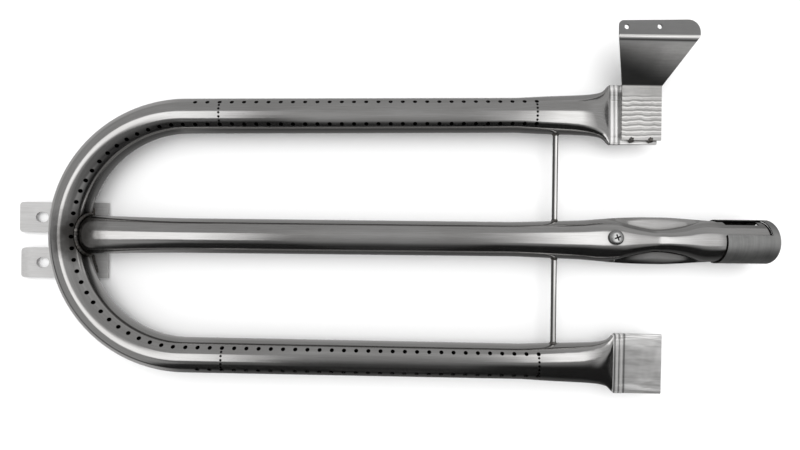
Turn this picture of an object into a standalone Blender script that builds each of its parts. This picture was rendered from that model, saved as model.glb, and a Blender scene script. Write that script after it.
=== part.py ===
"""U-shaped stainless steel tube burner of a gas grill, with its venturi feed tube and air shutter.

The burner lies flat. +X runs from the closed end of the U to the gas inlet, +Y to the arm that
carries the igniter bracket, +Z up. Everything hangs on one datum: the centre of the U's bend, at
the height of the tubes' axes. The world origin is the middle of the underside of the whole burner.
Angles round a tube are measured from its top, positive away from the inside of the U.
"""

import math

import bmesh
import bpy
from mathutils import Matrix, Vector

MM = 0.001
GAP = 0.3 * MM  # between pieces that touch
BEAD_GAP = 0.4 * MM  # between a weld bead and what it joins

# The U-shaped burner tube
TUBE_RADIUS = 12.7 * MM
TUBE_WALL = 1.0 * MM
BEND_RADIUS = 88.4 * MM
REAR_SPLAY = math.radians(0.85)
FRONT_SPLAY = math.radians(0.55)
REAR_ARM_LENGTH = 347.7 * MM
FRONT_ARM_LENGTH = 353.0 * MM
CRIMP_LENGTH = 35.2 * MM  # the flattened length at each arm's end
CRIMP_HALF_WIDTH = 22.1 * MM
CRIMP_HALF_THICKNESS = 1.3 * MM
TUBE_SIDES = 24
BEND_STEPS = 18

# The arm's section on its way to the flattened end: distance before the flattened length,
# half width, half height, and the exponent of the section's superellipse
FLARE_STATIONS = (
    (70.0 * MM, 12.7 * MM, 12.7 * MM, 2.0),
    (45.0 * MM, 13.9 * MM, 12.2 * MM, 2.0),
    (25.0 * MM, 14.6 * MM, 11.0 * MM, 2.05),
    (15.0 * MM, 15.2 * MM, 9.2 * MM, 2.2),
    (9.0 * MM, 16.1 * MM, 7.1 * MM, 2.4),
    (5.5 * MM, 17.2 * MM, 5.3 * MM, 2.8),
    (3.0 * MM, 19.2 * MM, 3.8 * MM, 3.6),
    (1.2 * MM, 21.2 * MM, 2.7 * MM, 5.0),
)
# Two ribs are pressed across each flattened end: distance past its start, half thickness
RIB_STATIONS = (
    (0.0, 2.1 * MM),
    (1.5 * MM, 2.6 * MM),
    (3.1 * MM, 1.9 * MM),
    (4.8 * MM, 2.6 * MM),
    (6.9 * MM, 1.3 * MM),
)
CRIMP_EXPONENT = 9.0

# Flame ports: two rows on each arm, and the inner row carried on round the bend
PORT_RADIUS = 1.5 * MM
PORT_PITCH = 8.81 * MM
PORT_ANGLE = math.radians(39)
PORT_DEPTH = 2.2 * MM
ARM_PORTS = 29
REAR_FIRST_PORT = 9.3 * MM
FRONT_FIRST_PORT = 12.2 * MM
BEND_FIRST_PORT = math.radians(90.6)
BEND_PORT_STEP = math.radians(6.03)
BEND_PORTS = 30
LIGHTER_PORT_RADIUS = 0.88 * MM  # short rows across the crown that carry the flame over
LIGHTER_PORTS = 5
LIGHTER_STATIONS = (2, ARM_PORTS - 1)
PORT_SIDES = 6

# The feed tube: distance from the datum along X, half width, half width and half height of its
# core. The core is narrower than the tube where the walls are pressed into fins, at the venturi.
FEED_STATIONS = (
    (-84.0 * MM, 13.6 * MM, 13.6 * MM, 5.2 * MM),
    (-78.0 * MM, 13.9 * MM, 13.9 * MM, 7.6 * MM),
    (-74.0 * MM, 14.0 * MM, 14.0 * MM, 9.6 * MM),
    (-69.5 * MM, 14.1 * MM, 14.1 * MM, 11.3 * MM),
    (-63.0 * MM, 14.0 * MM, 14.0 * MM, 12.0 * MM),
    (-35.0 * MM, 13.3 * MM, 13.3 * MM, 12.4 * MM),
    (0.0, 12.8 * MM, 12.8 * MM, 12.7 * MM),
    (235.0 * MM, 12.8 * MM, 12.8 * MM, 12.7 * MM),
    (270.0 * MM, 13.8 * MM, 13.8 * MM, 12.6 * MM),
    (290.0 * MM, 14.5 * MM, 14.5 * MM, 12.5 * MM),
    (303.0 * MM, 15.5 * MM, 15.4 * MM, 12.2 * MM),
    (314.0 * MM, 16.4 * MM, 14.6 * MM, 11.7 * MM),
    (324.5 * MM, 17.0 * MM, 12.2 * MM, 11.2 * MM),
    (336.5 * MM, 17.35 * MM, 9.6 * MM, 10.6 * MM),
    (345.0 * MM, 17.4 * MM, 8.4 * MM, 10.4 * MM),
    (350.0 * MM, 17.4 * MM, 8.5 * MM, 11.3 * MM),
    (363.5 * MM, 16.9 * MM, 10.3 * MM, 12.8 * MM),
    (373.0 * MM, 16.2 * MM, 12.8 * MM, 13.7 * MM),
    (381.0 * MM, 15.7 * MM, 14.9 * MM, 14.5 * MM),
    (389.0 * MM, 15.2 * MM, 15.2 * MM, 15.2 * MM),
    (423.1 * MM, 15.2 * MM, 15.2 * MM, 15.2 * MM),
)
INLET_START = 391.3 * MM  # from here on the tube is the node that keeps its mouth open
FIN_ROOT_HALF = 2.4 * MM
FIN_HALF_THICKNESS = 0.9 * MM
FIN_FULL_WIDTH = 3.0 * MM
FIN_EDGE = 0.4 * MM
FEED_CORE_STEPS = 5
FEED_SIDES = 4 * (FEED_CORE_STEPS + 2)
COPE_GAP = 0.35 * MM  # between the bend and the end that is coped to it
FEED_PORT_RADIUS = 5.8 * MM  # the hole in the bend that the feed tube blows into
JUNCTION_BEAD_RADIUS = 1.3 * MM
JUNCTION_BEAD_STEPS = 28

# Air shutter: a loose sleeve on the inlet, whose two notches uncover two windows in the tube
INLET_RADIUS = 15.2 * MM
SHUTTER_INNER_RADIUS = 15.5 * MM
SHUTTER_OUTER_RADIUS = 16.25 * MM
SHUTTER_START = 390.8 * MM
SHUTTER_END = 428.4 * MM
NOTCH_END = 423.6 * MM
NOTCH_MIDDLE = math.radians(48.5)
WINDOW_START = 393.3 * MM
WINDOW_END = 418.0 * MM
WINDOW_MIDDLE = math.radians(84)
AIR_OPENING_WIDTH = math.radians(60)
PIPE_SIDES = 48
HOLE_SIDES = 16
BEAD_SIDES = 8

# Screw in the crown of the venturi
SCREW_X = 312.3 * MM
SCREW_Y = 2.2 * MM
SCREW_SEAT = 11.95 * MM
SCREW_TILT = math.radians(-5)
SCREW_HEAD_RADIUS = 5.3 * MM
SCREW_HEAD_HEIGHT = 3.0 * MM
SCREW_HEAD_OUTLINE = ((0.35, 1.0), (0.7, 0.9), (0.9, 0.72), (1.0, 0.42))  # shares of its size
SCREW_SIDES = 20
SCREW_SHANK_RADIUS = 2.3 * MM
SCREW_SHANK_LENGTH = 11.0 * MM
SCREW_HOLE_REACH = 6.0 * MM
RECESS_LENGTH = 5.2 * MM
RECESS_WIDTH = 1.1 * MM
RECESS_DEPTH = 1.6 * MM

# Cross rods between the feed tube and the arms
ROD_RADIUS = 2.0 * MM
ROD_SIDES = 16
ROD_X = 271.6 * MM
ROD_BEAD_LENGTH = 1.6 * MM
ROD_BEAD_RADIUS = 3.2 * MM
ROD_BEAD_TIP = 2.6 * MM

# Mounting straps under the bend
STRAP_WIDTH = 23.0 * MM
STRAP_THICKNESS = 1.5 * MM
STRAP_TIP_XS = {"rear": -135.0 * MM, "front": -132.4 * MM}
STRAP_ROOT_X = -67.5 * MM
STRAP_CORNER = 2.6 * MM
STRAP_MIDDLES = {"rear": 12.5 * MM, "front": -22.3 * MM}
STRAP_CURLS = {"rear": 0.0, "front": 1.6 * MM}
STRAP_CURL_LENGTH = 9.0 * MM
STRAP_CURL_STEPS = (0.5, 0.75, 1.0)  # shares of that length
STRAP_CORNER_STEPS = 4
SLOT_XS = {"rear": -118.0 * MM, "front": -117.3 * MM}
SLOT_LENGTH = 9.7 * MM
SLOT_WIDTH = 7.8 * MM
SLOT_SIDES = 20
SLOT_REACH = 3.0 * MM  # of its cutter, above and below the strap
STRAP_BEAD_RADIUS = 1.3 * MM
STRAP_BEAD_LENGTH = 15.0 * MM
STRAP_BEAD_STEPS = 6
STRAP_BEAD_END = 0.45  # share of its radius that a bead keeps at its ends

# Igniter bracket on the rear arm's flattened end
BRACKET_X = 334.25 * MM
BRACKET_THICKNESS = 1.5 * MM
BRACKET_BASE_START = 74.3 * MM
BRACKET_FOLD_UP = 114.2 * MM
BRACKET_FOLD_FLAT = 142.4 * MM
BRACKET_END = 154.3 * MM
BRACKET_RISE = 20.9 * MM
BRACKET_FOLD_RADIUS = 2.2 * MM
BRACKET_FOLD_STEPS = 4
BRACKET_BASE_HALF = 14.65 * MM
BRACKET_FLANGE_HALF = 28.25 * MM
BRACKET_FLANGE_SHIFT = 1.6 * MM  # the flange stands a little nearer the inlet than the base
BRACKET_SKEW = 0.022  # the flange isn't quite square to the base
BRACKET_CORNERS = (2.5 * MM, 9.0 * MM)
BRACKET_CORNER_STEPS = (0.0, 0.35, 0.62, 0.72, 0.84, 0.95, 1.0)  # shares of the larger corner
BRACKET_HOLE_RADIUS = 1.75 * MM
BRACKET_HOLES = (-21.55 * MM, 1.45 * MM)
BRACKET_HOLE_Y = 149.7 * MM
TACK_XS = (326.9 * MM, 341.1 * MM)
TACK_LAP = 0.4 * MM  # how far over the bracket the middle of a tack lies
TACK_RADIUS = 2.6 * MM
TACK_SIDES = 12
TACK_STEPS = 5

# The datum in the world: the burner's box is centred on the origin and stands on z = 0
LOWEST_Y = -(BEND_RADIUS + FRONT_ARM_LENGTH * math.sin(FRONT_SPLAY) + CRIMP_HALF_WIDTH)
DATUM = Vector((
    -(STRAP_TIP_XS["rear"] + SHUTTER_END) / 2,
    -(LOWEST_Y + BRACKET_END) / 2,
    SHUTTER_OUTER_RADIUS,
))


def clear_scene():
    for obj in list(bpy.data.objects):
        bpy.data.objects.remove(obj, do_unlink=True)


def make_datum():
    empty = bpy.data.objects.new("burner_datum", None)
    empty.location = DATUM
    bpy.context.scene.collection.objects.link(empty)
    return empty


def make_metal(name, colour, roughness):
    material = bpy.data.materials.new(name)
    material.use_nodes = True
    shader = material.node_tree.nodes["Principled BSDF"]
    shader.inputs["Base Color"].default_value = (*colour, 1.0)
    shader.inputs["Metallic"].default_value = 1.0
    shader.inputs["Roughness"].default_value = roughness
    return material


def add_object(name, bm, material=None, smooth_angle=None):
    """Turns a bmesh into an object on the datum; without a material it is a cutter."""
    bmesh.ops.recalc_face_normals(bm, faces=bm.faces)
    mesh = bpy.data.meshes.new(name)
    bm.to_mesh(mesh)
    bm.free()
    if smooth_angle is not None:
        mesh.shade_smooth()
        mesh.set_sharp_from_angle(angle=smooth_angle)
    obj = bpy.data.objects.new(name, mesh)
    bpy.context.scene.collection.objects.link(obj)
    obj.parent = datum
    if material is None:
        obj.hide_render = True
        obj.display_type = "WIRE"
    else:
        mesh.materials.append(material)
    return obj


def cut(obj, cutter):
    modifier = obj.modifiers.new(cutter.name, "BOOLEAN")
    modifier.operation = "DIFFERENCE"
    modifier.solver = "EXACT"
    modifier.object = cutter


def add_loft(bm, rings):
    """A closed body through rings that have the same number of points, with both ends capped."""
    loops = [[bm.verts.new(point) for point in ring] for ring in rings]
    for first, second in zip(loops, loops[1:]):
        for i in range(len(first)):
            j = (i + 1) % len(first)
            bm.faces.new((first[i], first[j], second[j], second[i]))
    bm.faces.new(loops[0])
    bm.faces.new(loops[-1])


def add_closed_loft(bm, rings):
    """A ring-shaped body: the last ring is joined to the first."""
    loops = [[bm.verts.new(point) for point in ring] for ring in rings]
    for first, second in zip(loops, loops[1:] + loops[:1]):
        for i in range(len(first)):
            j = (i + 1) % len(first)
            bm.faces.new((first[i], first[j], second[j], second[i]))


def add_drum(bm, start, direction, radius, length, sides, end_radius=None):
    """A cylinder or cone that starts at a point and runs along a direction."""
    turn = Vector(direction).normalized().to_track_quat("Z", "Y").to_matrix().to_4x4()
    place = Matrix.Translation(start) @ turn @ Matrix.Translation((0, 0, length / 2))
    bmesh.ops.create_cone(
        bm,
        cap_ends=True,
        segments=sides,
        radius1=radius,
        radius2=radius if end_radius is None else end_radius,
        depth=length,
        matrix=place,
    )


def level_ring(radius, z, sides):
    """A level circle about Z."""
    steps = [2 * math.pi * i / sides for i in range(sides)]
    return [Vector((radius * math.cos(a), radius * math.sin(a), z)) for a in steps]


# ---------------------------------------------------------------- the U-shaped tube


def arm_values(side):
    """Splay, half the bend's length and the arm's length, on the rear (+1) or front (-1) side."""
    splay = REAR_SPLAY if side > 0 else FRONT_SPLAY
    length = REAR_ARM_LENGTH if side > 0 else FRONT_ARM_LENGTH
    return splay, BEND_RADIUS * (math.pi / 2 - splay), length


def tube_frame(distance):
    """Centre, outward direction and running direction at a distance from the bend's middle.

    The distance is positive towards the rear arm and negative towards the front arm.
    """
    side = 1 if distance >= 0 else -1
    splay, half_bend, _ = arm_values(side)
    along = min(abs(distance), half_bend)
    turn = along / BEND_RADIUS
    outward = Vector((-math.cos(turn), side * math.sin(turn), 0))
    running = Vector((math.sin(turn), side * math.cos(turn), 0))
    centre = outward * BEND_RADIUS + running * (abs(distance) - along)
    return centre, outward, running


def arm_distance(side, run):
    """The distance along the tube of a point that lies a run down an arm from the bend."""
    return side * (arm_values(side)[1] + run)


def tube_ring(distance, half_width, half_height, exponent):
    centre, outward, _ = tube_frame(distance)
    power = 2 / exponent
    ring = []
    for i in range(TUBE_SIDES):
        angle = 2 * math.pi * i / TUBE_SIDES
        across = math.copysign(abs(math.sin(angle)) ** power, math.sin(angle))
        up = math.copysign(abs(math.cos(angle)) ** power, math.cos(angle))
        ring.append(centre + outward * half_width * across + Vector((0, 0, half_height * up)))
    return ring


def round_stations(radius):
    """The bend, as (distance, half width, half height, exponent)."""
    rear, front = arm_values(1)[1], arm_values(-1)[1]
    steps = [-front + (rear + front) * i / BEND_STEPS for i in range(BEND_STEPS + 1)]
    return [(distance, radius, radius, 2.0) for distance in steps]


def arm_stations(side, shrink):
    """The flare of one arm and, for the outer surface (no shrink), its flattened end."""
    length = arm_values(side)[2]
    flat_start = length - CRIMP_LENGTH
    stations = [
        (arm_distance(side, flat_start - before), width - shrink, height - shrink, exponent)
        for before, width, height, exponent in FLARE_STATIONS
    ]
    if shrink:
        return stations
    for past, half_thickness in RIB_STATIONS:
        run = flat_start + past
        stations.append((arm_distance(side, run), CRIMP_HALF_WIDTH, half_thickness, CRIMP_EXPONENT))
    tip = (arm_distance(side, length), CRIMP_HALF_WIDTH, CRIMP_HALF_THICKNESS, CRIMP_EXPONENT)
    return stations + [tip]


def add_tube_surface(bm, shrink):
    front = arm_stations(-1, shrink)[::-1]
    stations = front + round_stations(TUBE_RADIUS - shrink) + arm_stations(1, shrink)
    add_loft(bm, [tube_ring(*station) for station in stations])


def add_port(bm, distance, angle, radius):
    centre, outward, _ = tube_frame(distance)
    direction = outward * math.sin(angle) + Vector((0, 0, math.cos(angle)))
    start = centre + direction * (TUBE_RADIUS - PORT_DEPTH)
    add_drum(bm, start, direction, radius, 2 * PORT_DEPTH, PORT_SIDES)


def make_port_cutter():
    bm = bmesh.new()
    for side, first in ((1, REAR_FIRST_PORT), (-1, FRONT_FIRST_PORT)):
        for i in range(ARM_PORTS):
            distance = arm_distance(side, first + i * PORT_PITCH)
            for angle in (-PORT_ANGLE, PORT_ANGLE):
                add_port(bm, distance, angle, PORT_RADIUS)
            if i in LIGHTER_STATIONS:
                for j in range(LIGHTER_PORTS):
                    angle = PORT_ANGLE * (2 * (j + 1) / (LIGHTER_PORTS + 1) - 1)
                    add_port(bm, distance, angle, LIGHTER_PORT_RADIUS)
    # The front arm's inner row has one port more, ahead of the others
    add_port(bm, arm_distance(-1, FRONT_FIRST_PORT - PORT_PITCH), -PORT_ANGLE, PORT_RADIUS)
    for i in range(BEND_PORTS):
        distance = BEND_RADIUS * (math.pi - BEND_FIRST_PORT - i * BEND_PORT_STEP)
        add_port(bm, distance, -PORT_ANGLE, PORT_RADIUS)
    return add_object("port_cutter", bm)


def make_burner_tube():
    bm = bmesh.new()
    add_tube_surface(bm, 0.0)
    tube = add_object("burner_tube", bm, steel, math.radians(30))
    bm = bmesh.new()
    add_tube_surface(bm, TUBE_WALL)
    cut(tube, add_object("burner_bore_cutter", bm))
    cut(tube, make_port_cutter())
    bm = bmesh.new()
    start = Vector((-BEND_RADIUS, 0, 0))
    add_drum(bm, start, (1, 0, 0), FEED_PORT_RADIUS, TUBE_RADIUS + 2 * MM, HOLE_SIDES)
    cut(tube, add_object("feed_port_cutter", bm))


# ---------------------------------------------------------------- the feed tube


def feed_quadrant(half_width, core_width, core_height):
    """One quarter of the section, from its crown to its side: the core, a crease, then a fin.

    On a round section there is no fin, and the crease lies on the circle.
    """
    fin = min(1.0, (half_width - core_width) / FIN_FULL_WIDTH)
    foot = FIN_ROOT_HALF * fin
    crease = math.radians(75 + 15 * fin)
    points = []
    for i in range(FEED_CORE_STEPS + 1):
        angle = crease * i / FEED_CORE_STEPS
        points.append((core_width * math.sin(angle), foot + (core_height - foot) * math.cos(angle)))
    side = math.radians(82.5)
    on_circle = Vector((half_width * math.sin(side), core_height * math.cos(side)))
    on_fin = Vector((half_width - FIN_EDGE, FIN_HALF_THICKNESS))
    points.append(tuple(on_circle.lerp(on_fin, fin)))
    points.append((half_width, 0.0))
    return points


def mirrored_ring(x, quadrant):
    """A full ring from a quarter: crown to +Y side, underside, -Y side and back."""
    right = [(y, z) for y, z in quadrant]
    lower = [(y, -z) for y, z in reversed(quadrant[:-1])]
    left = [(-y, -z) for y, z in quadrant[1:]]
    upper = [(-y, z) for y, z in reversed(quadrant[1:-1])]
    return [Vector((x, y, z)) for y, z in right + lower + left + upper]


def ellipse_ring(x, half_width, half_height, sides):
    ring = []
    for i in range(sides):
        angle = 2 * math.pi * i / sides
        ring.append(Vector((x, half_width * math.sin(angle), half_height * math.cos(angle))))
    return ring


def feed_size(x):
    """Half width and half height of the feed tube at a place along X."""
    for first, second in zip(FEED_STATIONS, FEED_STATIONS[1:]):
        if x <= second[0]:
            share = max(0.0, (x - first[0]) / (second[0] - first[0]))
            width = first[1] + (second[1] - first[1]) * share
            return width, first[3] + (second[3] - first[3]) * share
    return FEED_STATIONS[-1][1], FEED_STATIONS[-1][3]


def add_sector(bm, start, end, inner, outer, middle, width, steps=6):
    """A block that fills part of a ring about X, centred on an angle from the top towards +Y."""
    rings = []
    for i in range(steps + 1):
        angle = middle + width * (i / steps - 0.5)
        across, up = math.sin(angle), math.cos(angle)
        rings.append([
            Vector((x, radius * across, radius * up))
            for x, radius in ((start, inner), (end, inner), (end, outer), (start, outer))
        ])
    add_loft(bm, rings)


def make_feed_tube():
    """The long part of the tube, from the bend to the venturi's end."""
    stations = list(FEED_STATIONS)
    stations[-1] = (INLET_START - GAP, *stations[-1][1:])
    bm = bmesh.new()
    add_loft(bm, [mirrored_ring(x, feed_quadrant(w, c, h)) for x, w, c, h in stations])
    tube = add_object("feed_tube", bm, steel, math.radians(30))

    bm = bmesh.new()
    stations[0] = (stations[0][0] - MM, *stations[0][1:])
    stations[-1] = (stations[-1][0] + MM, *stations[-1][1:])
    rings = [ellipse_ring(x, c - TUBE_WALL, h - TUBE_WALL, FEED_SIDES) for x, _, c, h in stations]
    add_loft(bm, rings)
    cut(tube, add_object("feed_bore_cutter", bm))

    # Its end is coped to the bend
    bm = bmesh.new()
    add_loft(bm, [tube_ring(*station) for station in round_stations(TUBE_RADIUS + COPE_GAP)])
    cut(tube, add_object("cope_cutter", bm))

    bm = bmesh.new()
    start = Vector((0, 0, -SCREW_HOLE_REACH))
    add_drum(bm, start, (0, 0, 1), SCREW_SHANK_RADIUS + GAP, 2 * SCREW_HOLE_REACH, HOLE_SIDES)
    cutter = add_object("screw_hole_cutter", bm)
    place_on_screw_axis(cutter)
    cut(tube, cutter)


def make_inlet_end():
    """The tube's round end under the air shutter, with two opposed windows."""
    bm = bmesh.new()
    add_pipe(bm, INLET_START, FEED_STATIONS[-1][0], INLET_RADIUS - TUBE_WALL, INLET_RADIUS)
    inlet = add_object("inlet_end", bm, steel, math.radians(30))
    bm = bmesh.new()
    for middle in (WINDOW_MIDDLE, WINDOW_MIDDLE + math.pi):
        inner, outer = INLET_RADIUS - TUBE_WALL - MM, INLET_RADIUS + MM
        add_sector(bm, WINDOW_START, WINDOW_END, inner, outer, middle, AIR_OPENING_WIDTH)
    cut(inlet, add_object("window_cutter", bm))


def bead_distance(x, angle, clearance):
    """How far a point clear of the feed tube, at an angle round it, is from the bend's centreline."""
    width, height = feed_size(x)
    y = (width + clearance) * math.sin(angle)
    z = (height + clearance) * math.cos(angle)
    return math.hypot(math.hypot(x, y) - BEND_RADIUS, z), Vector((x, y, z))


def make_junction_weld():
    """The bead that lies in the corner all round the feed tube, clear of it and of the bend."""
    clearance = JUNCTION_BEAD_RADIUS + BEAD_GAP
    centres = []
    for i in range(JUNCTION_BEAD_STEPS):
        angle = 2 * math.pi * i / JUNCTION_BEAD_STEPS
        low, high = -84 * MM, -50 * MM
        while high - low > 0.001 * MM:
            middle = (low + high) / 2
            if bead_distance(middle, angle, clearance)[0] < TUBE_RADIUS + clearance:
                low = middle
            else:
                high = middle
        centres.append(bead_distance(high, angle, clearance)[1])
    rings = []
    for i, centre in enumerate(centres):
        before, after = centres[i - 1], centres[(i + 1) % len(centres)]
        along = (after - before).normalized()
        side = along.cross(Vector((1, 0, 0))).normalized()
        other = along.cross(side)
        rings.append([
            centre + (side * math.cos(a) + other * math.sin(a)) * JUNCTION_BEAD_RADIUS
            for a in (2 * math.pi * k / BEAD_SIDES for k in range(BEAD_SIDES))
        ])
    bm = bmesh.new()
    add_closed_loft(bm, rings)
    add_object("junction_weld", bm, weld_steel, math.radians(60))


# ---------------------------------------------------------------- the inlet


def add_pipe(bm, start, end, inner, outer):
    """A short length of pipe along X."""
    corners = ((start, outer), (end, outer), (end, inner), (start, inner))
    add_closed_loft(bm, [ellipse_ring(x, radius, radius, PIPE_SIDES) for x, radius in corners])


def make_air_shutter():
    bm = bmesh.new()
    middle = (SHUTTER_START + SHUTTER_END) / 2
    half = (SHUTTER_END - SHUTTER_START) / 2
    add_pipe(bm, -half, half, SHUTTER_INNER_RADIUS, SHUTTER_OUTER_RADIUS)
    shutter = add_object("air_shutter", bm, shutter_steel, math.radians(30))
    shutter.location = (middle, 0, 0)

    bm = bmesh.new()
    for angle in (NOTCH_MIDDLE, NOTCH_MIDDLE + math.pi):
        inner, outer = SHUTTER_INNER_RADIUS - 2 * MM, SHUTTER_OUTER_RADIUS + 2 * MM
        add_sector(bm, SHUTTER_START - 2 * MM, NOTCH_END, inner, outer, angle, AIR_OPENING_WIDTH)
    cut(shutter, add_object("notch_cutter", bm))


def place_on_screw_axis(obj):
    obj.location = (SCREW_X, SCREW_Y, SCREW_SEAT)
    obj.rotation_euler = (SCREW_TILT, 0, 0)


def make_screw():
    bm = bmesh.new()
    rings = [level_ring(SCREW_SHANK_RADIUS, -SCREW_SHANK_LENGTH, SCREW_SIDES)]
    rings.append(level_ring(SCREW_SHANK_RADIUS, GAP, SCREW_SIDES))
    rings.append(level_ring(SCREW_HEAD_RADIUS, GAP, SCREW_SIDES))
    for height, radius in SCREW_HEAD_OUTLINE:
        rings.append(level_ring(SCREW_HEAD_RADIUS * radius, SCREW_HEAD_HEIGHT * height, SCREW_SIDES))
    add_loft(bm, rings)
    screw = add_object("venturi_screw", bm, screw_steel, math.radians(50))
    place_on_screw_axis(screw)

    # Cross recess: a plus-shaped outline, walked round its four arms
    arm, waist = RECESS_LENGTH / 2, RECESS_WIDTH / 2
    outline = []
    for i in range(4):
        turn = Matrix.Rotation(i * math.pi / 2, 2)
        outline += [turn @ Vector(point) for point in ((arm, -waist), (arm, waist), (waist, waist))]
    bm = bmesh.new()
    low, high = SCREW_HEAD_HEIGHT - RECESS_DEPTH, SCREW_HEAD_HEIGHT + RECESS_DEPTH
    add_loft(bm, [[Vector((p.x, p.y, z)) for p in outline] for z in (low, high)])
    cutter = add_object("recess_cutter", bm)
    place_on_screw_axis(cutter)
    cut(screw, cutter)


# ---------------------------------------------------------------- rods and straps


def arm_inner_edge(side, x):
    """The Y of an arm's inner edge, at a place along X where it is widening."""
    splay, _, length = arm_values(side)
    before = length - CRIMP_LENGTH - x
    half_width = TUBE_RADIUS
    for first, second in zip(FLARE_STATIONS, FLARE_STATIONS[1:]):
        if second[0] <= before <= first[0]:
            share = (first[0] - before) / (first[0] - second[0])
            half_width = first[1] + (second[1] - first[1]) * share
    return BEND_RADIUS / math.cos(splay) + x * math.tan(splay) - half_width


def make_cross_rod(name, side):
    start = feed_size(ROD_X)[0] + GAP
    end = arm_inner_edge(side, ROD_X) - GAP
    bm = bmesh.new()
    add_drum(bm, (0, 0, 0), (0, 1, 0), ROD_RADIUS, end - start, ROD_SIDES)
    rod = add_object(f"cross_rod_{name}", bm, rod_steel, math.radians(40))
    rod.location = (ROD_X, side * (start if side > 0 else end), 0)

    hole = ROD_RADIUS + GAP
    outline = (
        (0, ROD_BEAD_RADIUS),
        (ROD_BEAD_LENGTH, ROD_BEAD_TIP),
        (ROD_BEAD_LENGTH, hole),
        (0, hole),
    )
    for place, y, direction in (("inner", start, side), ("outer", end, -side)):
        rings = []
        for distance, radius in outline:
            circle = level_ring(radius, 0, ROD_SIDES)
            rings.append([Vector((p.x, direction * distance, p.y)) for p in circle])
        bm = bmesh.new()
        add_closed_loft(bm, rings)
        bead = add_object(f"rod_weld_{name}_{place}", bm, weld_steel, math.radians(60))
        bead.location = (ROD_X, side * y, 0)


def strip_body(bm, stations, thickness, place):
    """Sheet metal: stations are (run, rise, low side, high side, skew), thickness is added below."""
    rings = []
    for i, (run, rise, low, high, skew) in enumerate(stations):
        before, after = stations[max(i - 1, 0)], stations[min(i + 1, len(stations) - 1)]
        slope = math.atan2(after[1] - before[1], after[0] - before[0])
        under = (run + thickness * math.sin(slope), rise - thickness * math.cos(slope))
        rings.append([
            place(r + skew * side, side, h)
            for (r, h), side in (((run, rise), low), ((run, rise), high), (under, high), (under, low))
        ])
    add_loft(bm, rings)


def make_strap(name):
    """A strap with round corners at its tip, the last stretch of the front one curled up a little."""
    curl = STRAP_CURLS[name]
    half = STRAP_WIDTH / 2
    runs = []
    for i in range(STRAP_CORNER_STEPS + 1):
        angle = i * math.pi / 2 / STRAP_CORNER_STEPS
        runs.append((STRAP_CORNER * (1 - math.sin(angle)), STRAP_CORNER * (1 - math.cos(angle))))
    runs.reverse()
    runs += [(STRAP_CURL_LENGTH * share, 0.0) for share in STRAP_CURL_STEPS]
    runs.append((STRAP_ROOT_X - STRAP_TIP_XS[name], 0.0))
    stations = []
    for run, inset in runs:
        lift = curl * max(0.0, 1 - run / STRAP_CURL_LENGTH) ** 2
        stations.append((run, lift, -half + inset, half - inset, 0.0))
    bm = bmesh.new()
    strip_body(bm, stations, STRAP_THICKNESS, lambda run, side, rise: Vector((run, side, rise)))
    strap = add_object(f"mounting_strap_{name}", bm, sheet_steel)
    top = -TUBE_RADIUS - GAP
    strap.location = (STRAP_TIP_XS[name], STRAP_MIDDLES[name], top)

    bm = bmesh.new()
    ends = (SLOT_LENGTH - SLOT_WIDTH) / 2
    outline = []
    for i in range(SLOT_SIDES):
        angle = 2 * math.pi * (i + 0.5) / SLOT_SIDES
        x = SLOT_WIDTH / 2 * math.cos(angle) + math.copysign(ends, math.cos(angle))
        outline.append((x, SLOT_WIDTH / 2 * math.sin(angle)))
    add_loft(bm, [[Vector((x, y, z)) for x, y in outline] for z in (-SLOT_REACH, SLOT_REACH)])
    cutter = add_object(f"slot_cutter_{name}", bm)
    cutter.location = (SLOT_XS[name], STRAP_MIDDLES[name], top)
    cut(strap, cutter)

    # A bead lies along each side of the tube, in the corner over the strap
    for place, side in (("outer", -1), ("inner", 1)):
        clear = STRAP_BEAD_RADIUS + BEAD_GAP
        height = top + clear
        reach = math.sqrt((TUBE_RADIUS + clear) ** 2 - height ** 2)
        radius = BEND_RADIUS - side * reach
        middle = math.asin(STRAP_MIDDLES[name] / radius)
        half_turn = STRAP_BEAD_LENGTH / radius / 2
        rings = []
        for i in range(STRAP_BEAD_STEPS + 1):
            angle = middle + half_turn * (2 * i / STRAP_BEAD_STEPS - 1)
            outward = Vector((-math.cos(angle), math.sin(angle), 0))
            centre = outward * radius + Vector((0, 0, height))
            size = STRAP_BEAD_RADIUS * (STRAP_BEAD_END if i in (0, STRAP_BEAD_STEPS) else 1.0)
            rings.append([
                centre + outward * size * math.cos(a) + Vector((0, 0, size * math.sin(a)))
                for a in (2 * math.pi * k / BEAD_SIDES for k in range(BEAD_SIDES))
            ])
        bm = bmesh.new()
        add_loft(bm, rings)
        add_object(f"strap_weld_{name}_{place}", bm, weld_steel, math.radians(60))


# ---------------------------------------------------------------- the igniter bracket


def rounded_path(corners, radius, steps):
    """The polyline through (run, rise) corners, each inner corner turned into an arc."""
    path = [Vector(corners[0])]
    for before, corner, after in zip(corners, corners[1:], corners[2:]):
        into = (Vector(corner) - Vector(before)).normalized()
        out = (Vector(after) - Vector(corner)).normalized()
        turn = into.angle_signed(out)
        reach = radius * math.tan(abs(turn) / 2)
        start = Vector(corner) - into * reach
        centre = start + Vector((into.y, -into.x)) * math.copysign(radius, turn)
        spoke = start - centre
        for i in range(steps + 1):
            path.append(centre + Matrix.Rotation(-turn * i / steps, 2) @ spoke)
    path.append(Vector(corners[-1]))
    return path


def bracket_half_width(y):
    if y <= BRACKET_FOLD_UP:
        return BRACKET_BASE_HALF
    share = min(1.0, (y - BRACKET_FOLD_UP) / (BRACKET_FOLD_FLAT - BRACKET_FOLD_UP))
    return BRACKET_BASE_HALF + (BRACKET_FLANGE_HALF - BRACKET_BASE_HALF) * share


def corner_inset(y, radius):
    past = y - (BRACKET_END - radius)
    return radius - math.sqrt(max(0.0, radius ** 2 - past ** 2)) if past > 0 else 0.0


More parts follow.
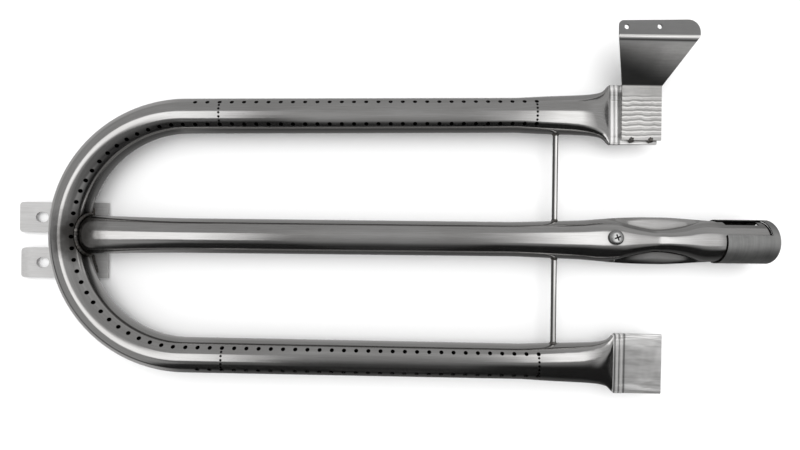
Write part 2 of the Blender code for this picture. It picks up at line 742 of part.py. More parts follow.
def make_bracket():
    low = CRIMP_HALF_THICKNESS + GAP + BRACKET_THICKNESS
    corners = [
        (BRACKET_BASE_START, low),
        (BRACKET_FOLD_UP, low),
        (BRACKET_FOLD_FLAT, low + BRACKET_RISE),
        (BRACKET_END, low + BRACKET_RISE),
    ]
    path = rounded_path(corners, BRACKET_FOLD_RADIUS, BRACKET_FOLD_STEPS)
    path.pop()
    left_corner, right_corner = BRACKET_CORNERS
    for share in BRACKET_CORNER_STEPS:
        path.append(Vector((BRACKET_END - right_corner * (1 - share), low + BRACKET_RISE)))
    stations = []
    for run, rise in path:
        half = bracket_half_width(run)
        share = (run - BRACKET_FOLD_UP) / (BRACKET_FOLD_FLAT - BRACKET_FOLD_UP)
        share = min(1.0, max(0.0, share))
        skew = BRACKET_SKEW * share
        shift = BRACKET_FLANGE_SHIFT * share
        low_side = shift - half + corner_inset(run, left_corner)
        high_side = shift + half - corner_inset(run, right_corner)
        stations.append((run, rise, low_side, high_side, skew))
    bm = bmesh.new()
    strip_body(bm, stations, BRACKET_THICKNESS, lambda run, side, rise: Vector((side, run, rise)))
    bracket = add_object("igniter_bracket", bm, sheet_steel)
    bracket.location = (BRACKET_X, 0, 0)

    bm = bmesh.new()
    for x in BRACKET_HOLES:
        start = (BRACKET_X + x, BRACKET_HOLE_Y + BRACKET_SKEW * x, BRACKET_RISE - 3 * MM)
        add_drum(bm, start, (0, 0, 1), BRACKET_HOLE_RADIUS, 10 * MM, HOLE_SIDES)
    cut(bracket, add_object("bracket_hole_cutter", bm))

    for name, x in zip(("left", "right"), TACK_XS):
        make_tack(f"bracket_tack_{name}", x)


def make_tack(name, x):
    """A blob that laps over the bracket's edge on to the flattened end."""
    floor = CRIMP_HALF_THICKNESS + GAP
    bm = bmesh.new()
    rings = []
    for i in range(TACK_STEPS):
        angle = i * math.pi / 2 / TACK_STEPS
        height = floor + TACK_RADIUS * math.sin(angle)
        rings.append(level_ring(TACK_RADIUS * math.cos(angle), height, TACK_SIDES))
    add_loft(bm, rings)
    tack = add_object(name, bm, weld_steel, math.radians(60))
    tack.location = (x, BRACKET_BASE_START + TACK_LAP, 0)
    bm = bmesh.new()
    side = 4 * TACK_RADIUS
    size = (side, side, BRACKET_THICKNESS + 2 * GAP)
    place = Matrix.Translation((0, side / 2 - GAP - TACK_LAP, floor + BRACKET_THICKNESS / 2))
    bmesh.ops.create_cube(bm, size=1.0, matrix=place @ Matrix.Diagonal((*size, 1.0)))
    cutter = add_object(f"{name}_cutter", bm)
    cutter.location = tack.location
    cut(tack, cutter)


clear_scene()
datum = make_datum()
steel = make_metal("stainless_tube", (0.56, 0.55, 0.54), 0.24)
sheet_steel = make_metal("stainless_sheet", (0.6, 0.6, 0.6), 0.36)
shutter_steel = make_metal("shutter_steel", (0.33, 0.34, 0.35), 0.5)
rod_steel = make_metal("rod_steel", (0.62, 0.62, 0.61), 0.32)
screw_steel = make_metal("screw_steel", (0.5, 0.5, 0.5), 0.3)
weld_steel = make_metal("weld_bead", (0.2, 0.19, 0.19), 0.5)
make_burner_tube()
make_feed_tube()
make_inlet_end()
make_junction_weld()
make_air_shutter()
make_screw()
for rod_name, rod_side in (("rear", 1), ("front", -1)):
    make_cross_rod(rod_name, rod_side)
for strap_name in STRAP_MIDDLES:
    make_strap(strap_name)
make_bracket()
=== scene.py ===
"""Looks of the U-shaped stainless tube burner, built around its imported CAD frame.

Every piece is worked out in the burner's own axes and put in place by `DATUM`, the centre of the
U's bend at the height of the tubes' axes, which comes from the frame. +X runs to the gas inlet,
+Y to the arm with the igniter bracket, +Z up. Angles round a tube are measured from its top.
"""

import math

import bmesh
import bpy
from mathutils import Matrix, Vector
from mathutils import noise as random_field
from mathutils.bvhtree import BVHTree


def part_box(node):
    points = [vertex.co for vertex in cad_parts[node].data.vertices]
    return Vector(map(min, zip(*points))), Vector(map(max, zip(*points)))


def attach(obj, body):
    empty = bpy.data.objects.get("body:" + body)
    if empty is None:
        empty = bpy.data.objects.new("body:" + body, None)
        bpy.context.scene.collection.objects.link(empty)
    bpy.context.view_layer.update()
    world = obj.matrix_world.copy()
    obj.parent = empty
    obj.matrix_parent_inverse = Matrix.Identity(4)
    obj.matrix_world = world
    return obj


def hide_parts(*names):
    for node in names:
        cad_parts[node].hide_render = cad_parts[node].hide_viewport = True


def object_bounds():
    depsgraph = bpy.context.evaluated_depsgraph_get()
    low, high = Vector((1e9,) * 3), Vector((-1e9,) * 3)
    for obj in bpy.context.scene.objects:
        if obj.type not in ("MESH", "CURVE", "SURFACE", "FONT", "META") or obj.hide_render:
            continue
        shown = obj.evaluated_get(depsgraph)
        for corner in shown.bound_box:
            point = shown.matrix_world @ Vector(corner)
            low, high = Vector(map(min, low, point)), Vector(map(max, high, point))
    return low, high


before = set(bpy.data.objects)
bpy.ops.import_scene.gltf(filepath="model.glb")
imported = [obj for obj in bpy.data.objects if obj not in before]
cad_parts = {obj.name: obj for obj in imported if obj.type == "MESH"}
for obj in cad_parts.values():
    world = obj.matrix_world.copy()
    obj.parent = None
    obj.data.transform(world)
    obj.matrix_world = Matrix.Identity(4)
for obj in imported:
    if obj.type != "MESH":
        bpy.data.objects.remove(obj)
cad_low, cad_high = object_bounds()

MM = 0.001


def in_millimetres(stations):
    return tuple(tuple(value * MM for value in station) for station in stations)



# The U-shaped burner tube
TUBE_RADIUS = 12.7 * MM
TUBE_WALL = 1.0 * MM
BEND_RADIUS = 88.4 * MM
SPLAYS = {1: math.radians(0.85), -1: math.radians(0.55)}  # rear arm, front arm
ARM_LENGTHS = {1: 347.7 * MM, -1: 353.0 * MM}
CRIMP_LENGTH = 35.2 * MM
CRIMP_HALF_WIDTH = 22.1 * MM
CRIMP_HALF_THICKNESS = 1.3 * MM
CRIMP_DISH = 0.22  # share of its thickness that a flattened end loses between its folded edges
CRIMP_EXPONENT = 7.0
CRIMP_SEAM = 0.25 * MM  # the line between the two walls at a flattened end's tip
TUBE_SIDES = 96
BORE_SIDES = 48
THINNEST_BORE = 0.8 * MM  # half the gap between the walls of an arm about to be flattened
SEAM_INSET = 1.2 * MM  # the folded edges, which the seam doesn't cut
SEAM_DEPTH = 3 * MM
BEND_STEPS = 132
ARM_STEP = 5.0 * MM
FLARE_STEP = 0.9 * MM
RIB_STEP = 0.25 * MM

# An arm's section ahead of its flattened end: distance before it, half width, half height, and
# the exponent of the section's superellipse
FLARE_STATIONS = (
    (70.0 * MM, 12.7 * MM, 12.7 * MM, 2.0),
    (45.0 * MM, 13.9 * MM, 12.2 * MM, 2.0),
    (25.0 * MM, 14.6 * MM, 11.0 * MM, 2.05),
    (15.0 * MM, 15.2 * MM, 9.2 * MM, 2.2),
    (9.0 * MM, 16.1 * MM, 7.1 * MM, 2.4),
    (5.5 * MM, 17.2 * MM, 5.3 * MM, 2.8),
    (3.0 * MM, 19.2 * MM, 3.8 * MM, 3.6),
    (1.2 * MM, 21.2 * MM, 2.7 * MM, 5.0),
    (0.0, 22.1 * MM, 2.1 * MM, 7.0),
)
# Two ribs are pressed across each flattened end: distance past its start, half thickness
RIB_STATIONS = in_millimetres((
    (0.0, 2.1),
    (1.5, 2.6),
    (3.1, 1.9),
    (4.8, 2.6),
    (6.9, 1.3),
    (9.0, 1.3),
))

# Start and end of the painted highlights along the ribs and of the painted shade in the creases past
# that start, in millimetres, and how dark each painted crease is
RIB_PAINTED_HIGHLIGHTS = ((0.9, 2.4), (4.1, 5.8))
RIB_PAINTED_SHADE = ((-0.7, 0.3, 0.85), (2.8, 3.5, 0.75), (6.4, 7.9, 0.7))
RIB_LINE_EDGE = 0.3 * MM

# Flame ports
PORT_RADIUS = 1.5 * MM
PORT_PITCH = 8.81 * MM
PORT_ANGLE = math.radians(39)
PORT_DEPTH = 2.2 * MM
PORT_SIDES = 20
ARM_PORTS = 29
FIRST_PORTS = {1: 9.3 * MM, -1: 12.2 * MM}
BEND_FIRST_PORT = math.radians(90.6)
BEND_PORT_STEP = math.radians(6.03)
BEND_PORTS = 30
LIGHTER_PORT_RADIUS = 0.88 * MM
LIGHTER_PORTS = 5
LIGHTER_STATIONS = (2, ARM_PORTS - 1)

# The feed tube: place along X, half width, half width and half height of its core
FEED_STATIONS = in_millimetres((
    (-84.0, 13.6, 13.6, 5.2),
    (-78.0, 13.9, 13.9, 7.6),
    (-74.0, 14.0, 14.0, 9.6),
    (-69.5, 14.1, 14.1, 11.3),
    (-63.0, 14.0, 14.0, 12.0),
    (-35.0, 13.3, 13.3, 12.4),
    (0.0, 12.8, 12.8, 12.7),
    (235.0, 12.8, 12.8, 12.7),
    (270.0, 13.8, 13.8, 12.6),
    (290.0, 14.5, 14.5, 12.5),
    (303.0, 15.5, 15.4, 12.2),
    (314.0, 16.4, 14.6, 11.7),
    (324.5, 17.0, 12.2, 11.2),
    (336.5, 17.35, 9.6, 10.6),
    (345.0, 17.4, 8.4, 10.4),
    (350.0, 17.4, 8.5, 11.3),
    (363.5, 16.9, 10.3, 12.8),
    (373.0, 16.2, 12.8, 13.7),
    (381.0, 15.7, 14.9, 14.5),
    (389.0, 15.2, 15.2, 15.2),
    (423.5, 15.2, 15.2, 15.2),
))
FIN_ROOT_HALF = 2.4 * MM
FIN_HALF_THICKNESS = 0.9 * MM
FIN_FULL_WIDTH = 3.0 * MM
FIN_ROUND = 0.6 * MM
FEED_CORE_STEPS = 18
FEED_FIN_STEPS = 4
FEED_STEP = 1.6 * MM
FEED_PORT_RADIUS = 5.8 * MM
COPE_CLEARANCE = 0.1 * MM
JUNCTION_BEAD_RADIUS = 1.05 * MM
# The steel round the junction weld is painted dark: burn marks, and painted shade in the corner between
# the tubes
SOOT_AND_SHADE_MIDDLE = Vector((-76.0, 0.0, 0.0)) * MM
SOOT_AND_SHADE_START = 17 * MM  # how far from its middle the burn marks and painted shade start to thin out, and where they end
SOOT_AND_SHADE_END = 33 * MM
# Length of the inlet's end that is painted dark: painted shade along the gap at its rim, and muck
DIRT_AND_SHADE_INLET_END = 1.4 * MM

# Air shutter and the windows under it
INLET_RADIUS = 15.2 * MM
SHUTTER_INNER_RADIUS = 15.5 * MM
SHUTTER_OUTER_RADIUS = 16.25 * MM
SHUTTER_START = 390.8 * MM
SHUTTER_END = 428.4 * MM
NOTCH_END = 423.3 * MM
NOTCH_MIDDLE = math.radians(48.5)
WINDOW_START = 393.3 * MM
WINDOW_END = 418.0 * MM
WINDOW_MIDDLE = math.radians(84)
AIR_OPENING_WIDTH = math.radians(60)

# Screw in the crown of the venturi
SCREW_PLACE = Vector((312.3, 2.2, 11.95)) * MM
SCREW_TILT = math.radians(-5)
SCREW_TURN = math.radians(20)
SCREW_HEAD_RADIUS = 5.3 * MM
SCREW_HEAD_HEIGHT = 3.0 * MM
SCREW_SHANK_RADIUS = 2.3 * MM
SCREW_SHANK_LENGTH = 11.0 * MM
RECESS_LENGTH = 5.2 * MM
RECESS_WIDTH = 1.1 * MM
RECESS_DEPTH = 1.7 * MM

# Cross rods
ROD_RADIUS = 2.0 * MM
ROD_X = 271.6 * MM
ROD_BEAD_LENGTH = 1.6 * MM
ROD_BEAD_RADIUS = 3.1 * MM

# Mounting straps under the bend
STRAP_WIDTH = 23.0 * MM
STRAP_THICKNESS = 1.5 * MM
STRAP_TIP_XS = {"rear": -135.0 * MM, "front": -132.4 * MM}
STRAP_ROOT_X = -67.5 * MM
STRAP_CORNER = 2.6 * MM
STRAP_MIDDLES = {"rear": 12.5 * MM, "front": -22.3 * MM}
STRAP_CURLS = {"rear": 0.0, "front": 1.6 * MM}
STRAP_CURL_LENGTH = 9.0 * MM
SLOT_XS = {"rear": -118.0 * MM, "front": -117.3 * MM}
SLOT_LENGTH = 9.7 * MM
SLOT_WIDTH = 7.8 * MM
STRAP_BEAD_RADIUS = 1.4 * MM
STRAP_BEAD_LENGTH = 15.0 * MM

# Igniter bracket
BRACKET_X = 334.25 * MM
BRACKET_THICKNESS = 1.5 * MM
BRACKET_SEAT = CRIMP_HALF_THICKNESS + 0.3 * MM
BRACKET_BASE_START = 74.3 * MM
BRACKET_FOLD_UP = 114.2 * MM
BRACKET_FOLD_FLAT = 142.4 * MM
BRACKET_END = 154.3 * MM
BRACKET_RISE = 20.9 * MM
BRACKET_FOLD_RADIUS = 2.2 * MM
BRACKET_BASE_HALF = 14.65 * MM
BRACKET_FLANGE_HALF = 28.25 * MM
BRACKET_FLANGE_SHIFT = 1.6 * MM
BRACKET_SKEW = 0.022
BRACKET_CORNERS = (2.5 * MM, 9.0 * MM)
BRACKET_HOLE_RADIUS = 1.75 * MM
BRACKET_HOLES = (-21.55 * MM, 1.45 * MM)
BRACKET_HOLE_Y = 149.7 * MM
TACK_XS = {"left": 326.9 * MM, "right": 341.1 * MM}
TACK_LAP = 0.4 * MM
TACK_RADIUS = 2.6 * MM

EDGE_BEVEL = 0.22 * MM
CREASE_ANGLE = math.radians(32)  # edges sharper than this aren't shaded smooth
FEED_CREASE_ANGLE = math.radians(24)
SOFTEST_WELD_ANGLE = math.radians(70)

# Camera, from the datum, and the low ceiling's height over it
CAMERA_OFFSET = Vector((155.0, 10.4, 356.9)) * MM
CAMERA_AIM = Vector((0.0046, -0.0023, -1.0))
CAMERA_UP = Vector((-0.0114, 1.0, -0.0023))
CAMERA_LENS = 21.6
CEILING_HEIGHT = 170 * MM

# What the steel reflects
PANEL_GLOW = (1.5, 1.5, 1.5)
BACKGROUND_GLOW = 0.95
ROOM_GREY = (0.36, 0.36, 0.36)
FAR_CEILING_GREY = (0.42, 0.42, 0.42)

# The shutter turns on the feed tube's axis and its rim is the burner's end
shutter_low, shutter_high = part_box("air_shutter")
DATUM = (shutter_low + shutter_high) / 2
DATUM.x = shutter_high.x - SHUTTER_END


# ---- node helpers


def node(tree, kind, inputs=None, **settings):
    """Adds a node; an input's value may be a number, a vector or another node's output."""
    made = tree.nodes.new("ShaderNode" + kind)
    for name, value in settings.items():
        setattr(made, name, value)
    for key, value in (inputs or {}).items():
        if isinstance(value, bpy.types.NodeSocket):
            tree.links.new(value, made.inputs[key])
        else:
            made.inputs[key].default_value = value
    return made


def maths(tree, operation, first, second=0.0, third=0.0):
    inputs = {0: first, 1: second, 2: third}
    return node(tree, "Math", inputs, operation=operation).outputs[0]


def times(tree, first, second):
    return maths(tree, "MULTIPLY", first, second)


def split(tree, vector):
    """The X, Y and Z of a vector."""
    return node(tree, "SeparateXYZ", {"Vector": vector}).outputs


def object_place(tree):
    return node(tree, "TexCoord").outputs["Object"]


def grey(tone):
    return (tone, tone, tone)


def spread_over(tree, value, lowest, highest, low=0.3, high=0.7):
    """The value's middle range, stretched from the lowest to the highest result."""
    inputs = {"Value": value, "From Min": low, "From Max": high, "To Min": lowest, "To Max": highest}
    return node(tree, "MapRange", inputs).outputs["Result"]


def smooth_step(tree, value, low, high):
    """0 below low, 1 above high; with low above high it falls instead."""
    inputs = {"Value": value, "From Min": low, "From Max": high}
    made = node(tree, "MapRange", inputs, interpolation_type="SMOOTHSTEP")
    return made.outputs["Result"]


def ramp(tree, value, stops):
    """A colour ramp through (place, grey or colour) stops."""
    made = node(tree, "ValToRGB", {"Fac": value})
    elements = made.color_ramp.elements
    while len(elements) < len(stops):
        elements.new(0.5)
    for element, (place, colour) in zip(elements, stops):
        element.position = place
        tone = colour if isinstance(colour, tuple) else (colour,) * 3
        element.color = (*tone, 1.0)
    return made.outputs["Color"]


def stretched(tree, vector, scale):
    return node(tree, "Mapping", {"Vector": vector, "Scale": scale}).outputs["Vector"]


def noise(tree, vector, scale, detail=3.0, roughness=0.55):
    inputs = {"Vector": vector, "Scale": scale, "Detail": detail, "Roughness": roughness}
    return node(tree, "TexNoise", inputs).outputs["Fac"]


def mixed(tree, share, first, second):
    made = node(tree, "Mix", {"Factor": share}, data_type="RGBA")
    for socket, value in ((made.inputs[6], first), (made.inputs[7], second)):
        if isinstance(value, bpy.types.NodeSocket):
            tree.links.new(value, socket)
        else:
            socket.default_value = (*value, 1.0)
    return made.outputs[2]


def bumped(tree, height, strength, distance, normal=None):
    inputs = {"Height": height, "Strength": strength, "Distance": distance}
    if normal is not None:
        inputs["Normal"] = normal
    return node(tree, "Bump", inputs).outputs["Normal"]


def panel(tree, place, start, end, soft):
    """1 between two places, with soft edges."""
    rise = smooth_step(tree, place, start - soft, start + soft)
    fall = smooth_step(tree, place, end + soft, end - soft)
    return times(tree, rise, fall)


def new_material(name):
    material = bpy.data.materials.new(name)
    material.use_nodes = True
    tree = material.node_tree
    shader = tree.nodes["Principled BSDF"]
    shader.inputs["Metallic"].default_value = 1.0
    return material, tree, shader


def finish_steel(tree, shader, colour, roughness, normal):
    tree.links.new(colour, shader.inputs["Base Color"])
    tree.links.new(roughness, shader.inputs["Roughness"])
    tree.links.new(normal, shader.inputs["Normal"])


# ---- materials


def make_brushed(
    name, dark, light, rough_range, coords, grain=(30.0, 1600.0, 1600.0), scuffs=0.5,
    anisotropy=0.5, soot_and_shade=False, wrinkles=0.0, metal=1.0, crease_shade_strength=0.8, painted_lit_crest=None,
):
    """Steel brushed along its first coordinate, with faint clouds, a few scratches and stains, and
    painted shade in its creases and corners.

    Wrinkles also bring the ribs across a flattened end, with painted highlights and painted shade on
    them.
    The crest argument, if given, is the X of a rod whose sides get painted shade, which leaves its top
    bright like a highlight.
    """
    material, tree, shader = new_material(name)
    shader.inputs["Metallic"].default_value = metal
    if coords == "UV":
        vector = node(tree, "UVMap", uv_map="along").outputs["UV"]
    else:
        vector = object_place(tree)
    streaks = noise(tree, stretched(tree, vector, grain), 1.0, 2.0)
    fine = noise(tree, stretched(tree, vector, tuple(3 * g for g in grain)), 1.0, 1.0)
    clouds = noise(tree, stretched(tree, vector, (14.0, 40.0, 40.0)), 1.0, 4.0, 0.6)
    grainy = maths(tree, "MULTIPLY_ADD", fine, 0.4, times(tree, streaks, 0.6))
    tone = maths(tree, "MULTIPLY_ADD", clouds, 0.45, times(tree, grainy, 0.55))
    colour = mixed(tree, smooth_step(tree, tone, 0.3, 0.7), dark, light)
    spots = noise(tree, stretched(tree, vector, (90.0, 160.0, 160.0)), 1.0, 5.0, 0.7)
    stain = smooth_step(tree, spots, 0.66, 0.8)
    colour = mixed(tree, times(tree, stain, scuffs), colour, tuple(0.6 * c for c in dark))
    # Painted shade: the colour darkens where ambient occlusion finds creases, corners and recesses
    shade = node(tree, "AmbientOcclusion", {"Distance": 5 * MM}, samples=8).outputs["AO"]
    painted_crease_shade = times(tree, smooth_step(tree, shade, 0.96, 0.45), crease_shade_strength)
    colour = mixed(tree, painted_crease_shade, colour, (0.08, 0.078, 0.075))
    # Burn marks round the junction weld, with painted shade in the corner between the tubes
    if soot_and_shade:
        colour = mixed(tree, junction_soot_and_shade(tree), colour, (0.06, 0.056, 0.052))
    if painted_lit_crest is not None:
        # Painted shade on a rod's sides, leaving its top bright like a highlight
        x = split(tree, vector)["X"]
        off = maths(tree, "ABSOLUTE", maths(tree, "SUBTRACT", x, DATUM.x + painted_lit_crest))
        painted_flank_shade = smooth_step(tree, off, 0.5 * MM, 1.1 * MM)
        colour = mixed(tree, painted_flank_shade, colour, (0.07, 0.069, 0.068))
    uneven = maths(tree, "MULTIPLY_ADD", clouds, 0.5, times(tree, streaks, 0.5))
    roughness = spread_over(tree, uneven, *rough_range)
    normal = bumped(tree, grainy, 0.25, 0.05 * MM)
    normal = bumped(tree, clouds, 0.2, 0.25 * MM, normal)
    if wrinkles:
        folds = noise(tree, stretched(tree, vector, (26.0, 130.0, 130.0)), 1.0, 3.0)
        # Painted highlights on the folds' tops, then the ribs' painted highlights and shade
        painted_lit_crest = smooth_step(tree, folds, 0.42, 0.62)
        colour = mixed(tree, painted_lit_crest, colour, tuple(1.3 * c for c in light))
        colour = painted_rib_lines(tree, vector, colour)
        normal = bumped(tree, folds, wrinkles, 1.2 * MM, normal)
    finish_steel(tree, shader, colour, roughness, normal)
    shader.inputs["Anisotropic"].default_value = anisotropy
    if anisotropy and coords == "UV":
        tangent = node(tree, "Tangent", direction_type="UV_MAP", uv_map="along")
        tree.links.new(tangent.outputs["Tangent"], shader.inputs["Tangent"])
    return material


def painted_rib_lines(tree, along, colour):
    """The ribs across a flattened end: painted highlights along them, with painted shade as dark lines
    in the creases beside them.
    """
    u = split(tree, along)["X"]
    starts = [half_bend(side) + ARM_LENGTHS[side] - CRIMP_LENGTH for side in (-1, 1)]
    rear = times(tree, maths(tree, "GREATER_THAN", u, 0.0), starts[1] - starts[0])
    place = maths(tree, "SUBTRACT", maths(tree, "ABSOLUTE", u), starts[0])
    place = maths(tree, "SUBTRACT", place, rear)
    for start, end in RIB_PAINTED_HIGHLIGHTS:
        painted_lit_crest = panel(tree, place, start * MM, end * MM, RIB_LINE_EDGE)
        colour = mixed(tree, times(tree, painted_lit_crest, 0.6), colour, (0.85, 0.84, 0.83))
    for start, end, depth in RIB_PAINTED_SHADE:
        crease = panel(tree, place, start * MM, end * MM, RIB_LINE_EDGE)
        colour = mixed(tree, times(tree, crease, depth), colour, grey(0.05))
    return colour


def junction_soot_and_shade(tree):
    """How dark the steel is painted round the weld between the feed tube and the bend: burnt by the
    weld, with painted shade in the corner between the tubes.
    """
    place = object_place(tree)
    corner = DATUM + SOOT_AND_SHADE_MIDDLE
    away = node(tree, "VectorMath", {0: place, 1: corner}, operation="DISTANCE").outputs["Value"]
    uneven = maths(tree, "MULTIPLY_ADD", noise(tree, place, 120.0, 4.0), 10 * MM, away)
    return times(tree, smooth_step(tree, uneven, SOOT_AND_SHADE_END, SOOT_AND_SHADE_START), 0.93)


def make_shutter_steel():
    """Dull zinc-grey sheet with faint turned lines and handling marks."""
    material, tree, shader = new_material("shutter_steel")
    place = object_place(tree)
    turned = noise(tree, stretched(tree, place, (900.0, 40.0, 40.0)), 1.0, 2.0)
    clouds = noise(tree, place, 90.0, 5.0, 0.6)
    marks = noise(tree, stretched(tree, place, (60.0, 260.0, 260.0)), 1.0, 4.0, 0.7)
    tone = maths(tree, "MULTIPLY_ADD", clouds, 0.6, times(tree, turned, 0.4))
    colour = mixed(tree, smooth_step(tree, tone, 0.3, 0.7), (0.34, 0.34, 0.335), (0.47, 0.47, 0.465))
    mark = times(tree, smooth_step(tree, marks, 0.64, 0.74), 0.5)
    colour = mixed(tree, mark, colour, grey(0.24))
    roughness = spread_over(tree, tone, 0.42, 0.56)
    normal = bumped(tree, tone, 0.2, 0.1 * MM)
    finish_steel(tree, shader, colour, roughness, normal)
    return material


def make_shadow_steel():
    """Sheared edges and recesses: dark for the oil and muck that stay there, and as painted shade inside
    bores, ports and hollows.
    """
    material, tree, shader = new_material("dirt_and_shade_edge_steel")
    place = object_place(tree)
    stops = ((0.35, 0.02), (0.7, (0.07, 0.068, 0.065)))
    colour = ramp(tree, noise(tree, place, 500.0, 4.0), stops)
    roughness = spread_over(tree, noise(tree, place, 900.0), 0.5, 0.8, low=0.0, high=1.0)
    normal = bumped(tree, noise(tree, place, 1200.0), 0.3, 0.1 * MM)
    finish_steel(tree, shader, colour, roughness, normal)
    return material


def make_ground_sheet():
    """The bracket's sheet: brushed, with ground ripples across its base whose tops carry painted
    highlights.
    """
    material, tree, shader = new_material("ground_sheet_steel")
    shader.inputs["Metallic"].default_value = 0.8  # ground this coarse it scatters light
    place = object_place(tree)
    grain = noise(tree, stretched(tree, place, (60.0, 1500.0, 1500.0)), 1.0, 2.0)
    clouds = noise(tree, place, 70.0, 4.0, 0.6)
    along = split(tree, place)["Y"]
    base_end = DATUM.y + BRACKET_FOLD_UP
    past_rear_rim = smooth_step(tree, along, base_end - 5 * MM, base_end - 11 * MM)
    past_front_rim = smooth_step(tree, along, base_end - 41 * MM, base_end - 36 * MM)
    on_base = times(tree, past_rear_rim, past_front_rim)
    wobble = noise(tree, stretched(tree, place, (110.0, 60.0, 60.0)), 1.0, 2.0)
    phase = maths(tree, "MULTIPLY_ADD", wobble, 5.0, times(tree, along, 2 * math.pi / (3.6 * MM)))
    ripples = times(tree, maths(tree, "SINE", phase), on_base)
    tone = maths(tree, "MULTIPLY_ADD", clouds, 0.6, times(tree, grain, 0.4))
    colour = mixed(tree, smooth_step(tree, tone, 0.3, 0.7), (0.42, 0.415, 0.405), (0.58, 0.57, 0.56))
    # Painted highlights along the ripples' tops
    painted_lit_crest = times(tree, smooth_step(tree, ripples, 0.1, 0.9), 0.8)
    colour = mixed(tree, painted_lit_crest, colour, (0.9, 0.89, 0.87))
    # A painted dark reflection darkens the foot of the web, most at its corner over the burner
    climb = maths(tree, "DIVIDE", maths(tree, "SUBTRACT", along, base_end), 30 * MM)
    aside = maths(tree, "SUBTRACT", split(tree, place)["X"], DATUM.x + 319.6 * MM)
    spread = maths(tree, "MULTIPLY_ADD", aside, 1 / (90 * MM), climb)
    on_web = smooth_step(tree, along, base_end - 0.5 * MM, base_end + 1.0 * MM)
    painted_dark_reflection = times(tree, smooth_step(tree, spread, 1.5, 0.3), on_web)
    colour = mixed(tree, times(tree, painted_dark_reflection, 0.97), colour, grey(0.012))
    # The flange is painted darker, with a painted highlight along its fold and painted shade as a dark
    # line below it
    flange = smooth_step(tree, along, base_end + 20 * MM, base_end + 30 * MM)
    colour = mixed(tree, times(tree, flange, 0.8), colour, grey(0.24))
    fold = DATUM.y + BRACKET_FOLD_FLAT
    painted_fold_highlight = panel(tree, along, fold - 0.2 * MM, fold + 1.5 * MM, 0.4 * MM)
    colour = mixed(tree, painted_fold_highlight, colour, (0.95, 0.94, 0.92))
    line = panel(tree, along, fold - 2.2 * MM, fold - 1.0 * MM, 0.4 * MM)
    colour = mixed(tree, times(tree, line, 0.85), colour, grey(0.03))
    roughness = spread_over(tree, tone, 0.3, 0.46)
    normal = bumped(tree, ripples, 0.6, 0.35 * MM)
    normal = bumped(tree, grain, 0.25, 0.05 * MM, normal)
    finish_steel(tree, shader, colour, roughness, normal)
    shader.inputs["Anisotropic"].default_value = 0.3
    return material


def make_weld_material():
    """Burnt weld metal: dark, with brown and pale blotches."""
    material, tree, shader = new_material("weld_metal")
    place = object_place(tree)
    blotches = noise(tree, place, 260.0, 5.0, 0.65)
    pits = noise(tree, place, 1500.0, 3.0)
    colour = ramp(tree, blotches, (
        (0.3, (0.04, 0.038, 0.036)),
        (0.48, (0.2, 0.185, 0.17)),
        (0.58, grey(0.11)),
        (0.7, (0.6, 0.57, 0.53)),
    ))
    roughness = spread_over(tree, pits, 0.32, 0.62, low=0.0, high=1.0)
    normal = bumped(tree, blotches, 0.5, 0.3 * MM)
    normal = bumped(tree, pits, 0.3, 0.1 * MM, normal)
    finish_steel(tree, shader, colour, roughness, normal)
    return material


# ---- mesh helpers


def new_piece(name, bm, materials, body="burner", sharp=CREASE_ANGLE):
    """Turns a bmesh in the burner's axes into a piece that rides on a body."""
    bmesh.ops.recalc_face_normals(bm, faces=bm.faces)
    bmesh.ops.translate(bm, verts=bm.verts, vec=DATUM)
    mesh = bpy.data.meshes.new(name)
    bm.to_mesh(mesh)
    bm.free()
    mesh.shade_smooth()
    mesh.set_sharp_from_angle(angle=sharp)
    for material in materials:
        mesh.materials.append(material)
    piece = bpy.data.objects.new(name, mesh)
    bpy.context.scene.collection.objects.link(piece)
    if body:
        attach(piece, body)
    return piece


def cutter(name, bm):
    """A solid for `subtract`, which removes it."""
    return new_piece(f"{name}_cutter", bm, (), body=None)


def add_bevel(piece):
    bevel = piece.modifiers.new("edge", "BEVEL")
    bevel.width = EDGE_BEVEL
    bevel.segments = 2
    bevel.limit_method = "ANGLE"
    bevel.angle_limit = math.radians(40)
    bevel.harden_normals = False


def subtract(piece, cutters):
    """Cuts solids out of a piece for good and removes them."""
    for cutter in cutters:
        modifier = piece.modifiers.new("cut", "BOOLEAN")
        modifier.operation = "DIFFERENCE"
        modifier.solver = "EXACT"
        modifier.object = cutter
    graph = bpy.context.evaluated_depsgraph_get()
    mesh = bpy.data.meshes.new_from_object(piece.evaluated_get(graph), depsgraph=graph)
    piece.modifiers.clear()
    old = piece.data
    piece.data = mesh
    bpy.data.meshes.remove(old)
    mesh.name = piece.name
    for cutter in cutters:
        bpy.data.objects.remove(cutter, do_unlink=True)


def faces_axis(polygon):
    """Whether a face looks at the feed tube's axis, as a bore does."""
    place = polygon.center - DATUM
    return place.y * polygon.normal.y + place.z * polygon.normal.z < 0


def surface_tree(piece):
    """The piece's faces and its smooth vertex normals, kept to shade it after it is cut."""
    mesh = piece.data
    points = [v.co.copy() for v in mesh.vertices]
    faces = [tuple(p.vertices) for p in mesh.polygons]
    normals = [v.normal.copy() for v in mesh.vertices]
    return BVHTree.FromPolygons(points, faces), points, faces, normals


